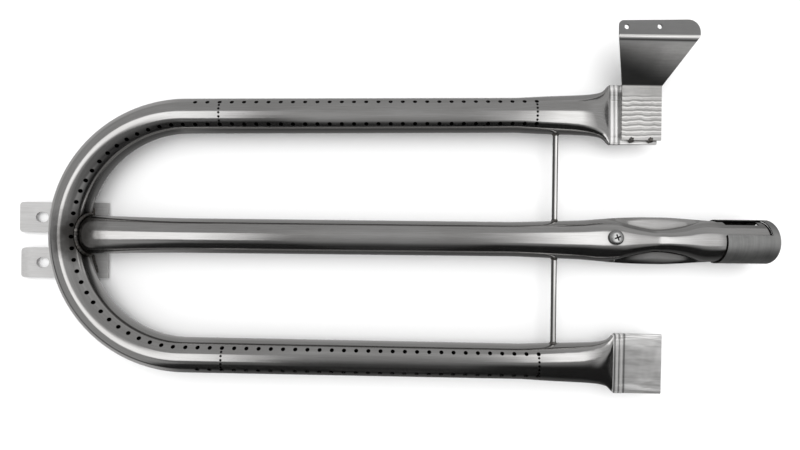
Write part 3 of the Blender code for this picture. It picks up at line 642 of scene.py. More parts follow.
def shade_as(piece, surface, reach=0.02 * MM):
    """Gives what is left of the uncut surface that surface's own smooth normals."""
    tree, points, faces, normals = surface
    mesh = piece.data
    corner_normals = [c.vector.copy() for c in mesh.corner_normals]
    for polygon in mesh.polygons:
        place, normal, _, distance = tree.find_nearest(polygon.center)
        if place is None or distance > reach or normal.dot(polygon.normal) < 0.9:
            continue
        for loop in polygon.loop_indices:
            point = mesh.vertices[mesh.loops[loop].vertex_index].co
            nearest, _, index, _ = tree.find_nearest(point)
            corners = faces[index]
            weights = [1.0 / ((points[c] - nearest).length + 1e-7) for c in corners]
            if len(corners) == 4:
                weights = quad_weights([points[c] for c in corners], nearest)
            total = Vector()
            for weight, c in zip(weights, corners):
                total += weight * normals[c]
            corner_normals[loop] = total.normalized()
    mesh.normals_split_custom_set(corner_normals)


def quad_weights(corners, point):
    """Bilinear weights of a point on a nearly flat four-sided face."""
    a, b, c, d = corners
    across, up = b - a, d - a
    u = max(0.0, min(1.0, (point - a).dot(across) / across.length_squared))
    v = max(0.0, min(1.0, (point - a).dot(up) / up.length_squared))
    return ((1 - u) * (1 - v), u * (1 - v), u * v, (1 - u) * v)


def add_loft(bm, rings, closed=False, uv=None, material_index=None):
    """Faces between rings of equal size, with the ends filled unless the last ring joins the first.

    uv gives (along, around) of ring i at point j.
    """
    layer = bm.loops.layers.uv.get("along") or bm.loops.layers.uv.new("along")
    loops = [[bm.verts.new(point) for point in ring] for ring in rings]
    count = len(rings[0])
    pairs = list(zip(range(len(loops)), range(1, len(loops))))
    if closed:
        pairs.append((len(loops) - 1, 0))
    for n, (i, k) in enumerate(pairs):
        for j in range(count):
            m = (j + 1) % count
            face = bm.faces.new((loops[i][j], loops[i][m], loops[k][m], loops[k][j]))
            if material_index is not None:
                face.material_index = material_index(n)
            if uv is not None:
                ends = ((i, j), (i, j + 1), (n + 1, j + 1), (n + 1, j))
                for loop, (station, point) in zip(face.loops, ends):
                    loop[layer].uv = uv(station, point)
    if not closed:
        for ring in (loops[0], loops[-1]):
            bm.faces.new(ring)


def lofted(rings, **options):
    bm = bmesh.new()
    add_loft(bm, rings, **options)
    return bm


def round_angles(count):
    return [2 * math.pi * i / count for i in range(count)]


def add_drum(bm, start, direction, radius, length, sides):
    turn = Vector(direction).normalized().to_track_quat("Z", "Y").to_matrix().to_4x4()
    place = Matrix.Translation(start) @ turn @ Matrix.Translation((0, 0, length / 2))
    bmesh.ops.create_cone(
        bm,
        cap_ends=True,
        segments=sides,
        radius1=radius,
        radius2=radius,
        depth=length,
        matrix=place,
    )


def interpolated(stations, x):
    """The values after each station's first, along a smooth curve that doesn't overshoot."""
    if x <= stations[0][0]:
        return stations[0][1:]
    if x >= stations[-1][0]:
        return stations[-1][1:]
    i = max(k for k in range(len(stations) - 1) if stations[k][0] <= x)
    first, second = stations[i], stations[i + 1]
    width = second[0] - first[0]
    t = (x - first[0]) / width
    values = []
    for k in range(1, len(first)):
        slopes = []
        for n in (i, i + 1):
            if n in (0, len(stations) - 1):
                slopes.append((second[k] - first[k]) / width)
                continue
            before, here, after = stations[n - 1], stations[n], stations[n + 1]
            into = (here[k] - before[k]) / (here[0] - before[0])
            out = (after[k] - here[k]) / (after[0] - here[0])
            slopes.append(0.0 if into * out <= 0 else 2 * into * out / (into + out))
        a, b = first[k], second[k]
        value = (
            (2 * t**3 - 3 * t**2 + 1) * a
            + (t**3 - 2 * t**2 + t) * width * slopes[0]
            + (3 * t**2 - 2 * t**3) * b
            + (t**3 - t**2) * width * slopes[1]
        )
        values.append(value)
    return tuple(values)


def evenly(start, end, step):
    count = max(1, math.ceil(abs(end - start) / step))
    return [start + (end - start) * i / count for i in range(count + 1)]


# ---- the U-shaped tube


def half_bend(side):
    return BEND_RADIUS * (math.pi / 2 - SPLAYS[side])


def tube_frame(distance):
    """Centre and outward direction at a distance from the bend's middle, positive to the rear."""
    side = 1 if distance >= 0 else -1
    along = min(abs(distance), half_bend(side))
    turn = along / BEND_RADIUS
    outward = Vector((-math.cos(turn), side * math.sin(turn), 0))
    running = Vector((math.sin(turn), side * math.cos(turn), 0))
    return outward * BEND_RADIUS + running * (abs(distance) - along), outward


def arm_section(side, run):
    """Half width, half height, exponent and dish at a run down an arm from the bend."""
    flat_start = ARM_LENGTHS[side] - CRIMP_LENGTH
    if run <= flat_start:
        before = [(-s[0], *s[1:]) for s in FLARE_STATIONS]
        return (*interpolated(before, run - flat_start), 0.0)
    past = run - flat_start
    thickness = interpolated(RIB_STATIONS, past)[0]
    dish = CRIMP_DISH * min(1.0, max(0.0, (past - 5 * MM) / (4 * MM)))
    tip = max(0.0, 1 - (ARM_LENGTHS[side] - run) / (0.5 * MM))
    return CRIMP_HALF_WIDTH - 0.3 * MM * tip**2, thickness - 0.35 * MM * tip**2, CRIMP_EXPONENT, dish


def section_point(angle, half_width, half_height, exponent, dish):
    """A superellipse's point; a dish thins it between its edges."""
    power = 2 / exponent
    across = math.copysign(abs(math.sin(angle)) ** power, math.sin(angle))
    up = math.copysign(abs(math.cos(angle)) ** power, math.cos(angle))
    edge = max(0.0, min(1.0, (abs(across) - 0.7) / 0.22))
    up *= 1 - dish * (1 - edge * edge * (3 - 2 * edge))
    return half_width * across, half_height * up


def tube_ring(distance, section, sides=TUBE_SIDES):
    centre, outward = tube_frame(distance)
    ring = []
    for i in range(sides):
        across, up = section_point(2 * math.pi * i / sides + math.pi, *section)
        ring.append(centre + outward * across + Vector((0, 0, up)))
    return ring


def tube_distances(with_crimps):
    """Where the tube's rings lie, from the front arm's tip to the rear arm's."""
    arms = {}
    for side in (1, -1):
        flat_start = ARM_LENGTHS[side] - CRIMP_LENGTH
        straight = flat_start - FLARE_STATIONS[0][0]
        runs = evenly(0.0, straight, ARM_STEP)[1:]
        runs += evenly(straight, flat_start - 12 * MM, 3 * MM)[1:]
        runs += evenly(flat_start - 12 * MM, flat_start, FLARE_STEP)[1:]
        if with_crimps:
            runs += evenly(flat_start, flat_start + 8 * MM, RIB_STEP)[1:]
            runs += evenly(flat_start + 8 * MM, ARM_LENGTHS[side] - 0.5 * MM, 3 * MM)[1:]
            runs += evenly(ARM_LENGTHS[side] - 0.5 * MM, ARM_LENGTHS[side], 0.125 * MM)[1:]
        arms[side] = [side * (half_bend(side) + run) for run in runs]
    rear, front = half_bend(1), half_bend(-1)
    bend = [-front + (rear + front) * i / BEND_STEPS for i in range(BEND_STEPS + 1)]
    return arms[-1][::-1] + bend + arms[1]


def tube_section(distance):
    side = 1 if distance >= 0 else -1
    run = abs(distance) - half_bend(side)
    if run <= 0:
        return TUBE_RADIUS, TUBE_RADIUS, 2.0, 0.0
    return arm_section(side, run)


def add_port(bm, distance, angle, radius):
    centre, outward = tube_frame(distance)
    direction = outward * math.sin(angle) + Vector((0, 0, math.cos(angle)))
    start = centre + direction * (TUBE_RADIUS - PORT_DEPTH)
    add_drum(bm, start, direction, radius, 2 * PORT_DEPTH, PORT_SIDES)


def add_ports(bm):
    for side, first in FIRST_PORTS.items():
        for i in range(ARM_PORTS):
            distance = side * (half_bend(side) + first + i * PORT_PITCH)
            for angle in (-PORT_ANGLE, PORT_ANGLE):
                add_port(bm, distance, angle, PORT_RADIUS)
            if i in LIGHTER_STATIONS:
                for j in range(LIGHTER_PORTS):
                    angle = PORT_ANGLE * (2 * (j + 1) / (LIGHTER_PORTS + 1) - 1)
                    add_port(bm, distance, angle, LIGHTER_PORT_RADIUS)
    extra = -(half_bend(-1) + FIRST_PORTS[-1] - PORT_PITCH)
    add_port(bm, extra, -PORT_ANGLE, PORT_RADIUS)
    for i in range(BEND_PORTS):
        distance = BEND_RADIUS * (math.pi - BEND_FIRST_PORT - i * BEND_PORT_STEP)
        add_port(bm, distance, -PORT_ANGLE, PORT_RADIUS)


def make_burner_tube():
    distances = tube_distances(True)
    sections = [tube_section(d) for d in distances]
    rings = [tube_ring(d, s) for d, s in zip(distances, sections)]
    girth = 2 * math.pi * TUBE_RADIUS
    flat_starts = {side: half_bend(side) + ARM_LENGTHS[side] - CRIMP_LENGTH for side in (1, -1)}

    def flattened(i):
        distance = distances[i]
        return int(abs(distance) >= flat_starts[1 if distance > 0 else -1] - 1.5 * MM)

    bm = lofted(
        rings,
        uv=lambda i, j: (distances[i], girth * j / TUBE_SIDES),
        material_index=flattened,
    )
    tube = new_piece("tube_shell", bm, (tube_steel, crimp_steel, dirt_and_shade_edge))
    for polygon in tube.data.polygons:
        if len(polygon.vertices) > 4:
            polygon.material_index = 1
    surface = surface_tree(tube)

    inner = []
    for distance in tube_distances(False):
        width, height, exponent, _ = tube_section(distance)
        height = max(THINNEST_BORE, height - TUBE_WALL)
        inner.append(tube_ring(distance, (width - TUBE_WALL, height, exponent, 0.0), BORE_SIDES))
    bore = cutter("bore", lofted(inner))
    bm = bmesh.new()
    add_ports(bm)
    ports = cutter("port", bm)
    bm = bmesh.new()
    add_drum(bm, (-BEND_RADIUS, 0, 0), (1, 0, 0), FEED_PORT_RADIUS, TUBE_RADIUS + 2 * MM, 32)
    reach = CRIMP_HALF_WIDTH - SEAM_INSET
    for side in (1, -1):
        end = side * (half_bend(side) + ARM_LENGTHS[side])
        centre, outward = tube_frame(end)
        inward = tube_frame(end - side * SEAM_DEPTH)[0] - centre
        slab = []
        for along in (-1.0 / 3, 1.0):
            middle = centre + inward * along
            slab.append([
                middle + outward * across * reach + Vector((0, 0, up * CRIMP_SEAM / 2))
                for across, up in ((-1, -1), (1, -1), (1, 1), (-1, 1))
            ])
        add_loft(bm, slab)
    openings = cutter("opening", bm)
    subtract(tube, (bore, ports, openings))
    tube.data.set_sharp_from_angle(angle=CREASE_ANGLE)
    # Faces inside the wall, in the bore, ports and seam, take the dark edge steel: painted shade, and
    # muck
    for polygon in tube.data.polygons:
        if surface[0].find_nearest(polygon.center)[3] > 0.7 * TUBE_WALL:
            polygon.material_index = 2
    shade_as(tube, surface)
    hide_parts("burner_tube")


# ---- the feed tube


def feed_quadrant(half_width, core_width, core_height):
    """From crown to side: the core, a crease, then a fin with a rounded edge."""
    fin = min(1.0, max(0.0, (half_width - core_width) / FIN_FULL_WIDTH))
    foot = FIN_ROOT_HALF * fin
    crease = math.radians(75 + 15 * fin)
    points = []
    for i in range(FEED_CORE_STEPS + 1):
        angle = crease * i / FEED_CORE_STEPS
        up = foot + (core_height - foot) * math.cos(angle)
        points.append(Vector((core_width * math.sin(angle), up)))
    for i in range(1, FEED_FIN_STEPS + 1):
        share = i / FEED_FIN_STEPS
        angle = crease + (math.pi / 2 - math.radians(75)) * share * (1 - fin)
        on_circle = Vector((half_width * math.sin(angle), core_height * math.cos(angle)))
        bend = math.pi / 2 * max(0.0, 2 * share - 1)
        reach = half_width - FIN_ROUND - core_width
        flat = core_width + reach * min(1.0, 2 * share)
        slope = FIN_ROOT_HALF + (FIN_HALF_THICKNESS - FIN_ROOT_HALF) * min(1.0, 2 * share)
        on_fin = Vector((flat + FIN_ROUND * math.sin(bend), slope * math.cos(bend)))
        points.append(on_circle.lerp(on_fin, fin))
    points[-1] = Vector((half_width, 0.0))
    return points


def mirrored_ring(x, quadrant):
    right = [(p.x, p.y) for p in quadrant]
    lower = [(y, -z) for y, z in reversed(right[:-1])]
    left = [(-y, -z) for y, z in right[1:]]
    upper = [(-y, z) for y, z in reversed(right[1:-1])]
    return [Vector((x, y, z)) for y, z in right + lower + left + upper]


def ellipse_ring(x, half_width, half_height, sides):
    angles = round_angles(sides)
    return [Vector((x, half_width * math.sin(a), half_height * math.cos(a))) for a in angles]


def add_sector(bm, start, end, inner, outer, middle, width, steps=24):
    rings = []
    for i in range(steps + 1):
        angle = middle + width * (i / steps - 0.5)
        across, up = math.sin(angle), math.cos(angle)
        rings.append([
            Vector((x, radius * across, radius * up))
            for x, radius in ((start, inner), (end, inner), (end, outer), (start, outer))
        ])
    add_loft(bm, rings)


def make_feed_tube():
    places = evenly(FEED_STATIONS[0][0], FEED_STATIONS[-1][0], FEED_STEP)
    rings = [mirrored_ring(x, feed_quadrant(*interpolated(FEED_STATIONS, x))) for x in places]
    sides = len(rings[0])
    girth = 2 * math.pi * TUBE_RADIUS

    def along_and_around(i, j):
        return places[i], girth * ((j / sides + 0.5) % 1.0 if j < sides else 0.5)

    bm = lofted(rings, uv=along_and_around)
    tube = new_piece("feed_shell", bm, (tube_steel, dirt_and_shade_edge), sharp=FEED_CREASE_ANGLE)

    inner = []
    for x in evenly(FEED_STATIONS[0][0] - MM, FEED_STATIONS[-1][0] + MM, 4 * MM):
        _, width, height = interpolated(FEED_STATIONS, x)
        inner.append(ellipse_ring(x, width - TUBE_WALL, height - TUBE_WALL, 64))
    bore = cutter("bore", lofted(inner))
    reach = TUBE_RADIUS + COPE_CLEARANCE
    front, rear = half_bend(-1), half_bend(1)
    bend = [-front + (front + rear) * i / 80 for i in range(81)]
    cope = cutter("cope", lofted([tube_ring(d, (reach, reach, 2.0, 0.0), 64) for d in bend]))
    bm = bmesh.new()
    for middle in (WINDOW_MIDDLE, WINDOW_MIDDLE + math.pi):
        inner_radius, outer_radius = INLET_RADIUS - 4 * MM, INLET_RADIUS + 2 * MM
        add_sector(bm, WINDOW_START, WINDOW_END, inner_radius, outer_radius, middle, AIR_OPENING_WIDTH)
    windows = cutter("window", bm)
    subtract(tube, (bore, cope, windows))
    tube.data.set_sharp_from_angle(angle=FEED_CREASE_ANGLE)
    bore_start, inlet_end = FEED_STATIONS[-2][0], FEED_STATIONS[-1][0]
    # The inlet's last stretch and its bore take the dark edge steel: painted shade, and muck
    for polygon in tube.data.polygons:
        x = polygon.center.x - DATUM.x
        if x > inlet_end - DIRT_AND_SHADE_INLET_END or (faces_axis(polygon) and x > bore_start):
            polygon.material_index = 1
    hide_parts("feed_tube", "inlet_end")


# ---- welds, shutter and screw


def roughened(point, amount, scale):
    """A point pushed about by a smooth random field, so that welds look hand made."""
    return point + amount * random_field.noise_vector(point * scale)


def bead(centres, radius, closed=False, end_share=1.0):
    """A rippled bead of weld along a line of centres."""
    rings = []
    count = len(centres)
    for i, centre in enumerate(centres):
        before = centres[i - 1] if closed or i else centre
        after = centres[(i + 1) % count] if closed or i < count - 1 else centre
        along = (after - before).normalized()
        side = along.orthogonal().normalized()
        if closed:
            side = along.cross(Vector((1, 0, 0))).normalized()
        other = along.cross(side)
        end = 1.0 if closed else min(1.0, 6 * min(i + 0.5, count - i - 0.5) / count)
        size = radius * (end_share + (1 - end_share) * end) * (1 + 0.12 * math.sin(1.9 * i))
        rings.append([
            roughened(centre + (side * math.cos(a) + other * math.sin(a)) * size, 0.16 * radius, 900.0)
            for a in round_angles(16)
        ])
    return lofted(rings, closed=closed)


def make_weld(name, bm):
    weld = new_piece(f"{name}_metal", bm, (weld_metal,), sharp=SOFTEST_WELD_ANGLE)
    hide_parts(name)


def make_junction_weld():
    """The bead in the corner between the feed tube's coped end and the bend."""
    centres = []
    for angle in round_angles(120):
        low, high = -84 * MM, -50 * MM
        while high - low > 0.005 * MM:
            middle = (low + high) / 2
            width, _, height = interpolated(FEED_STATIONS, middle)
            y = (width + JUNCTION_BEAD_RADIUS) * math.sin(angle)
            z = (height + JUNCTION_BEAD_RADIUS) * math.cos(angle)
            gap = math.hypot(math.hypot(middle, y) - BEND_RADIUS, z) - TUBE_RADIUS
            if gap < JUNCTION_BEAD_RADIUS:
                low = middle
            else:
                high = middle
        centres.append(Vector((high, y, z)))
    make_weld("junction_weld", bead(centres, JUNCTION_BEAD_RADIUS * 1.12, closed=True))


def make_air_shutter():
    outer, inner = SHUTTER_OUTER_RADIUS, SHUTTER_INNER_RADIUS
    places = evenly(SHUTTER_START, SHUTTER_END, 4.5 * MM)
    rings = [ellipse_ring(x, outer, outer, 144) for x in places]
    rings += [ellipse_ring(x, inner, inner, 144) for x in reversed(places)]
    bm = lofted(rings, closed=True)
    shutter = new_piece("shutter_sleeve", bm, (shutter_steel, dirt_and_shade_edge), body="air_shutter")
    bm = bmesh.new()
    for angle in (NOTCH_MIDDLE, NOTCH_MIDDLE + math.pi):
        reach = (inner - 2 * MM, outer + 2 * MM)
        add_sector(bm, SHUTTER_START - 2 * MM, NOTCH_END, *reach, angle, AIR_OPENING_WIDTH)
    subtract(shutter, (cutter("notch", bm),))
    shutter.data.set_sharp_from_angle(angle=CREASE_ANGLE)
    # The sleeve's inside and its notches' end faces take the dark edge steel: painted shade, and muck
    for polygon in shutter.data.polygons:
        short_of_rim = polygon.center.x - DATUM.x < SHUTTER_END - MM
        if faces_axis(polygon) or (abs(polygon.normal.x) > 0.9 and short_of_rim):
            polygon.material_index = 1
    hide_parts("air_shutter")


def screw_point(radius, angle, height):
    point = Vector((radius * math.cos(angle), radius * math.sin(angle), height))
    return SCREW_PLACE + Matrix.Rotation(SCREW_TILT, 3, "X") @ point


def make_screw():
    """A pan head with a rounded top and a tapered cross recess, on its threaded shank."""
    profile = [(0.7 * MM, -SCREW_SHANK_LENGTH)]
    for i in range(60):
        depth = -SCREW_SHANK_LENGTH + 0.5 * MM + (SCREW_SHANK_LENGTH - 0.6 * MM) * i / 60
        profile.append((SCREW_SHANK_RADIUS - 0.3 * MM * (i % 4 in (0, 3)), depth))
    rim = 0.9 * MM
    profile += [(SCREW_SHANK_RADIUS, 0.0), (SCREW_HEAD_RADIUS, 0.0), (SCREW_HEAD_RADIUS, rim)]
    for i in range(1, 12):
        angle = math.pi / 2 * i / 12
        height = rim + (SCREW_HEAD_HEIGHT - rim) * math.sin(angle)
        profile.append((SCREW_HEAD_RADIUS * math.cos(angle) ** 0.8, height))
    rings = [[screw_point(r, angle, z) for angle in round_angles(64)] for r, z in profile]
    screw = new_piece("screw_body", lofted(rings), (screw_steel, dirt_and_shade_edge))

    rings = []
    for share, height in ((0.45, SCREW_HEAD_HEIGHT - RECESS_DEPTH), (1.1, SCREW_HEAD_HEIGHT + 0.4 * MM)):
        arm, waist = RECESS_LENGTH / 2 * share, RECESS_WIDTH / 2 * (0.6 + 0.4 * share)
        outline = []
        for i in range(4):
            turn = Matrix.Rotation(i * math.pi / 2, 2)
            outline += [turn @ Vector(p) for p in ((arm, -waist), (arm, waist), (waist, waist))]
        rings.append([
            screw_point(p.length, math.atan2(p.y, p.x) + SCREW_TURN, height) for p in outline
        ])
    subtract(screw, (cutter("recess", lofted(rings)),))
    screw.data.set_sharp_from_angle(angle=math.radians(40))
    floor = SCREW_HEAD_HEIGHT - RECESS_DEPTH
    # The recess takes the dark edge steel: painted shade, and muck
    for polygon in screw.data.polygons:
        point = Matrix.Rotation(-SCREW_TILT, 3, "X") @ (polygon.center - DATUM - SCREW_PLACE)
        reach = math.hypot(point.x, point.y)
        upright = abs(polygon.normal.z) < 0.7
        if reach < RECESS_LENGTH * 0.56 and point.z > 0 and (upright or point.z < floor + 0.05 * MM):
            polygon.material_index = 1
    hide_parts("venturi_screw")


# ---- rods and straps


def make_cross_rod(name, side):
    start = interpolated(FEED_STATIONS, ROD_X)[0]
    splay = SPLAYS[side]
    run = ROD_X / math.cos(splay)
    end = BEND_RADIUS / math.cos(splay) + ROD_X * math.tan(splay) - arm_section(side, run)[0]
    sink = 0.3 * MM

    def circle(y, radius):
        return [
            Vector((ROD_X + radius * math.sin(a), side * y, radius * math.cos(a)))
            for a in round_angles(40)
        ]

    rings = [circle(y, ROD_RADIUS) for y in evenly(start - sink, end + sink, 6 * MM)]
    rod = new_piece(f"rod_{name}", lofted(rings), (rod_steel,))
    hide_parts(f"cross_rod_{name}")
    for place, y, direction in (("inner", start, 1), ("outer", end, -1)):
        rings = []
        for i in range(9):
            share = i / 8
            radius = ROD_BEAD_RADIUS + (ROD_RADIUS + 0.05 * MM - ROD_BEAD_RADIUS) * share ** 0.6
            ring = circle(y + direction * (ROD_BEAD_LENGTH * share - sink), radius)
            rings.append([roughened(point, 0.18 * MM, 700.0) for point in ring])
        make_weld(f"rod_weld_{name}_{place}", lofted(rings))


def strip_body(stations, thickness, place):
    """Sheet metal: stations are (run, rise, low side, high side, skew), thickness is added below."""
    rings = []
    for i, (run, rise, low, high, skew) in enumerate(stations):
        before, after = stations[max(i - 1, 0)], stations[min(i + 1, len(stations) - 1)]
        slope = math.atan2(after[1] - before[1], after[0] - before[0])
        under = (run + thickness * math.sin(slope), rise - thickness * math.cos(slope))
        rings.append([
            place(r + skew * side, side, h)
            for (r, h), side in (((run, rise), low), ((run, rise), high), (under, high), (under, low))
        ])
    return lofted(rings)


def make_strap(name):
    """A strap with round corners and a slot; the front one's tip is curled up a little."""
    half, top = STRAP_WIDTH / 2, -TUBE_RADIUS - 0.1 * MM
    runs = [STRAP_CORNER * (1 - math.cos(i * math.pi / 24)) for i in range(13)]
    runs += evenly(STRAP_CORNER, STRAP_CURL_LENGTH, 0.8 * MM)[1:]
    tip = STRAP_TIP_XS[name]
    runs += evenly(STRAP_CURL_LENGTH, STRAP_ROOT_X - tip, 8 * MM)[1:]
    stations = []
    for run in runs:
        short = max(0.0, STRAP_CORNER - run)
        inset = STRAP_CORNER - math.sqrt(max(0.0, STRAP_CORNER**2 - short**2))
        lift = STRAP_CURLS[name] * max(0.0, 1 - run / STRAP_CURL_LENGTH) ** 2
        stations.append((run, lift, -half + inset, half - inset, 0.0))
    middle = STRAP_MIDDLES[name]
    bm = strip_body(
        stations, STRAP_THICKNESS,
        lambda run, side, rise: Vector((tip + run, middle + side, top + rise)),
    )
    strap = new_piece(f"strap_{name}", bm, (strap_steel,))

    ends = (SLOT_LENGTH - SLOT_WIDTH) / 2
    outline = []
    for i in range(64):
        angle = 2 * math.pi * (i + 0.5) / 64
        x = SLOT_WIDTH / 2 * math.cos(angle) + math.copysign(ends, math.cos(angle))
        outline.append((SLOT_XS[name] + x, middle + SLOT_WIDTH / 2 * math.sin(angle)))
    rings = [[Vector((x, y, top + z)) for x, y in outline] for z in (-3 * MM, 3 * MM)]
    subtract(strap, (cutter("slot", lofted(rings)),))
    strap.data.set_sharp_from_angle(angle=CREASE_ANGLE)
    add_bevel(strap)
    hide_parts(f"mounting_strap_{name}")

    for place, side in (("outer", -1), ("inner", 1)):
        height = top + STRAP_BEAD_RADIUS
        reach = math.sqrt((TUBE_RADIUS + STRAP_BEAD_RADIUS) ** 2 - height**2)
        radius = BEND_RADIUS - side * reach
        half_turn = STRAP_BEAD_LENGTH / radius / 2
        centres = []
        for i in range(25):
            angle = math.asin(middle / radius) + half_turn * (i / 12 - 1)
            centres.append(Vector((-radius * math.cos(angle), radius * math.sin(angle), height)))
        make_weld(f"strap_weld_{name}_{place}", bead(centres, STRAP_BEAD_RADIUS, end_share=0.3))


# ---- the igniter bracket


def rounded_path(corners, radius, steps):
    """The polyline through (run, rise) corners, each inner corner turned into an arc."""
    path = [Vector(corners[0])]
    for before, corner, after in zip(corners, corners[1:], corners[2:]):
        into = (Vector(corner) - Vector(before)).normalized()
        out = (Vector(after) - Vector(corner)).normalized()
        turn = into.angle_signed(out)
        start = Vector(corner) - into * radius * math.tan(abs(turn) / 2)
        centre = start + Vector((into.y, -into.x)) * math.copysign(radius, turn)
        spoke = start - centre
        for i in range(steps + 1):
            path.append(centre + Matrix.Rotation(-turn * i / steps, 2) @ spoke)
    path.append(Vector(corners[-1]))
    return path


def corner_inset(y, radius):
    past = y - (BRACKET_END - radius)
    return radius - math.sqrt(max(0.0, radius**2 - past**2)) if past > 0 else 0.0


def make_bracket():
    """One sheet: a base on the arm's end, a web that widens as it climbs, and a flange."""
    low = BRACKET_SEAT + BRACKET_THICKNESS
    high = low + BRACKET_RISE
    corners = (
        (BRACKET_BASE_START, low), (BRACKET_FOLD_UP, low),
        (BRACKET_FOLD_FLAT, high), (BRACKET_END, high),
    )
    path = rounded_path(corners, BRACKET_FOLD_RADIUS, 10)
    path.pop()
    left_corner, right_corner = BRACKET_CORNERS
    for i in range(17):
        path.append(Vector((BRACKET_END - right_corner * (1 - math.sin(i * math.pi / 32)), high)))
    stations = []
    for run, rise in path:
        share = (run - BRACKET_FOLD_UP) / (BRACKET_FOLD_FLAT - BRACKET_FOLD_UP)
        share = min(1.0, max(0.0, share))
        half = BRACKET_BASE_HALF + (BRACKET_FLANGE_HALF - BRACKET_BASE_HALF) * share
        shift = BRACKET_FLANGE_SHIFT * share
        low_side = shift - half + corner_inset(run, left_corner)
        high_side = shift + half - corner_inset(run, right_corner)
        stations.append((run, rise, low_side, high_side, BRACKET_SKEW * share))
    bm = strip_body(
        stations, BRACKET_THICKNESS,
        lambda run, side, rise: Vector((BRACKET_X + side, run, rise)),
    )
    bracket = new_piece("bracket_sheet", bm, (bracket_steel,))
    bm = bmesh.new()
    for x in BRACKET_HOLES:
        start = (BRACKET_X + x, BRACKET_HOLE_Y + BRACKET_SKEW * x, high - 5 * MM)
        add_drum(bm, start, (0, 0, 1), BRACKET_HOLE_RADIUS, 10 * MM, 40)
    subtract(bracket, (cutter("hole", bm),))
    bracket.data.set_sharp_from_angle(angle=CREASE_ANGLE)
    add_bevel(bracket)
    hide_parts("igniter_bracket")
    for name, x in TACK_XS.items():
        make_tack(name, x)


def make_tack(name, x):
    """A small burnt blob on the bracket's edge, with ragged rays."""
    middle = Vector((x, BRACKET_BASE_START + TACK_LAP, BRACKET_SEAT))
    rings = []
    for i in range(10):
        tilt = i * math.pi / 20
        ring = []
        for angle in round_angles(40):
            ragged = 1 + 0.14 * math.sin(5 * angle + x * 900) + 0.08 * math.sin(9 * angle)
            reach = 0.86 * TACK_RADIUS * math.cos(tilt) * ragged
            rise = 0.95 * TACK_RADIUS * math.sin(tilt)
            point = middle + Vector((reach * math.cos(angle), reach * math.sin(angle), rise))
            ring.append(roughened(point, 0.15 * MM, 800.0))
        rings.append(ring)
    make_weld(f"bracket_tack_{name}", lofted(rings))


# ---- camera, light and floor


def make_stage():
    centre = (cad_low + cad_high) / 2
    bpy.ops.mesh.primitive_plane_add(size=8.0, location=(centre.x, centre.y, cad_low.z - 0.2 * MM))
    floor = bpy.context.object
    floor.name = "floor"
    material, tree, shader = new_material("floor_paper")
    shader.inputs["Metallic"].default_value = 0.0
    shader.inputs["Base Color"].default_value = (0.93, 0.93, 0.93, 1.0)
    shader.inputs["Roughness"].default_value = 0.9
    shader.inputs["Specular IOR Level"].default_value = 0.0
    floor.data.materials.append(material)
    floor.visible_glossy = False


def make_camera():
    data = bpy.data.cameras.new("camera")
    data.lens = CAMERA_LENS
    data.sensor_width = 36.0
    data.clip_start = 0.01
    data.clip_end = 50.0
    camera = bpy.data.objects.new("camera", data)
    bpy.context.scene.collection.objects.link(camera)
    back = -CAMERA_AIM.normalized()
    right = CAMERA_UP.cross(back).normalized()
    up = back.cross(right)
    turn = Matrix((right, up, back)).transposed().to_4x4()
    camera.matrix_world = Matrix.Translation(DATUM + CAMERA_OFFSET) @ turn
    bpy.context.scene.camera = camera


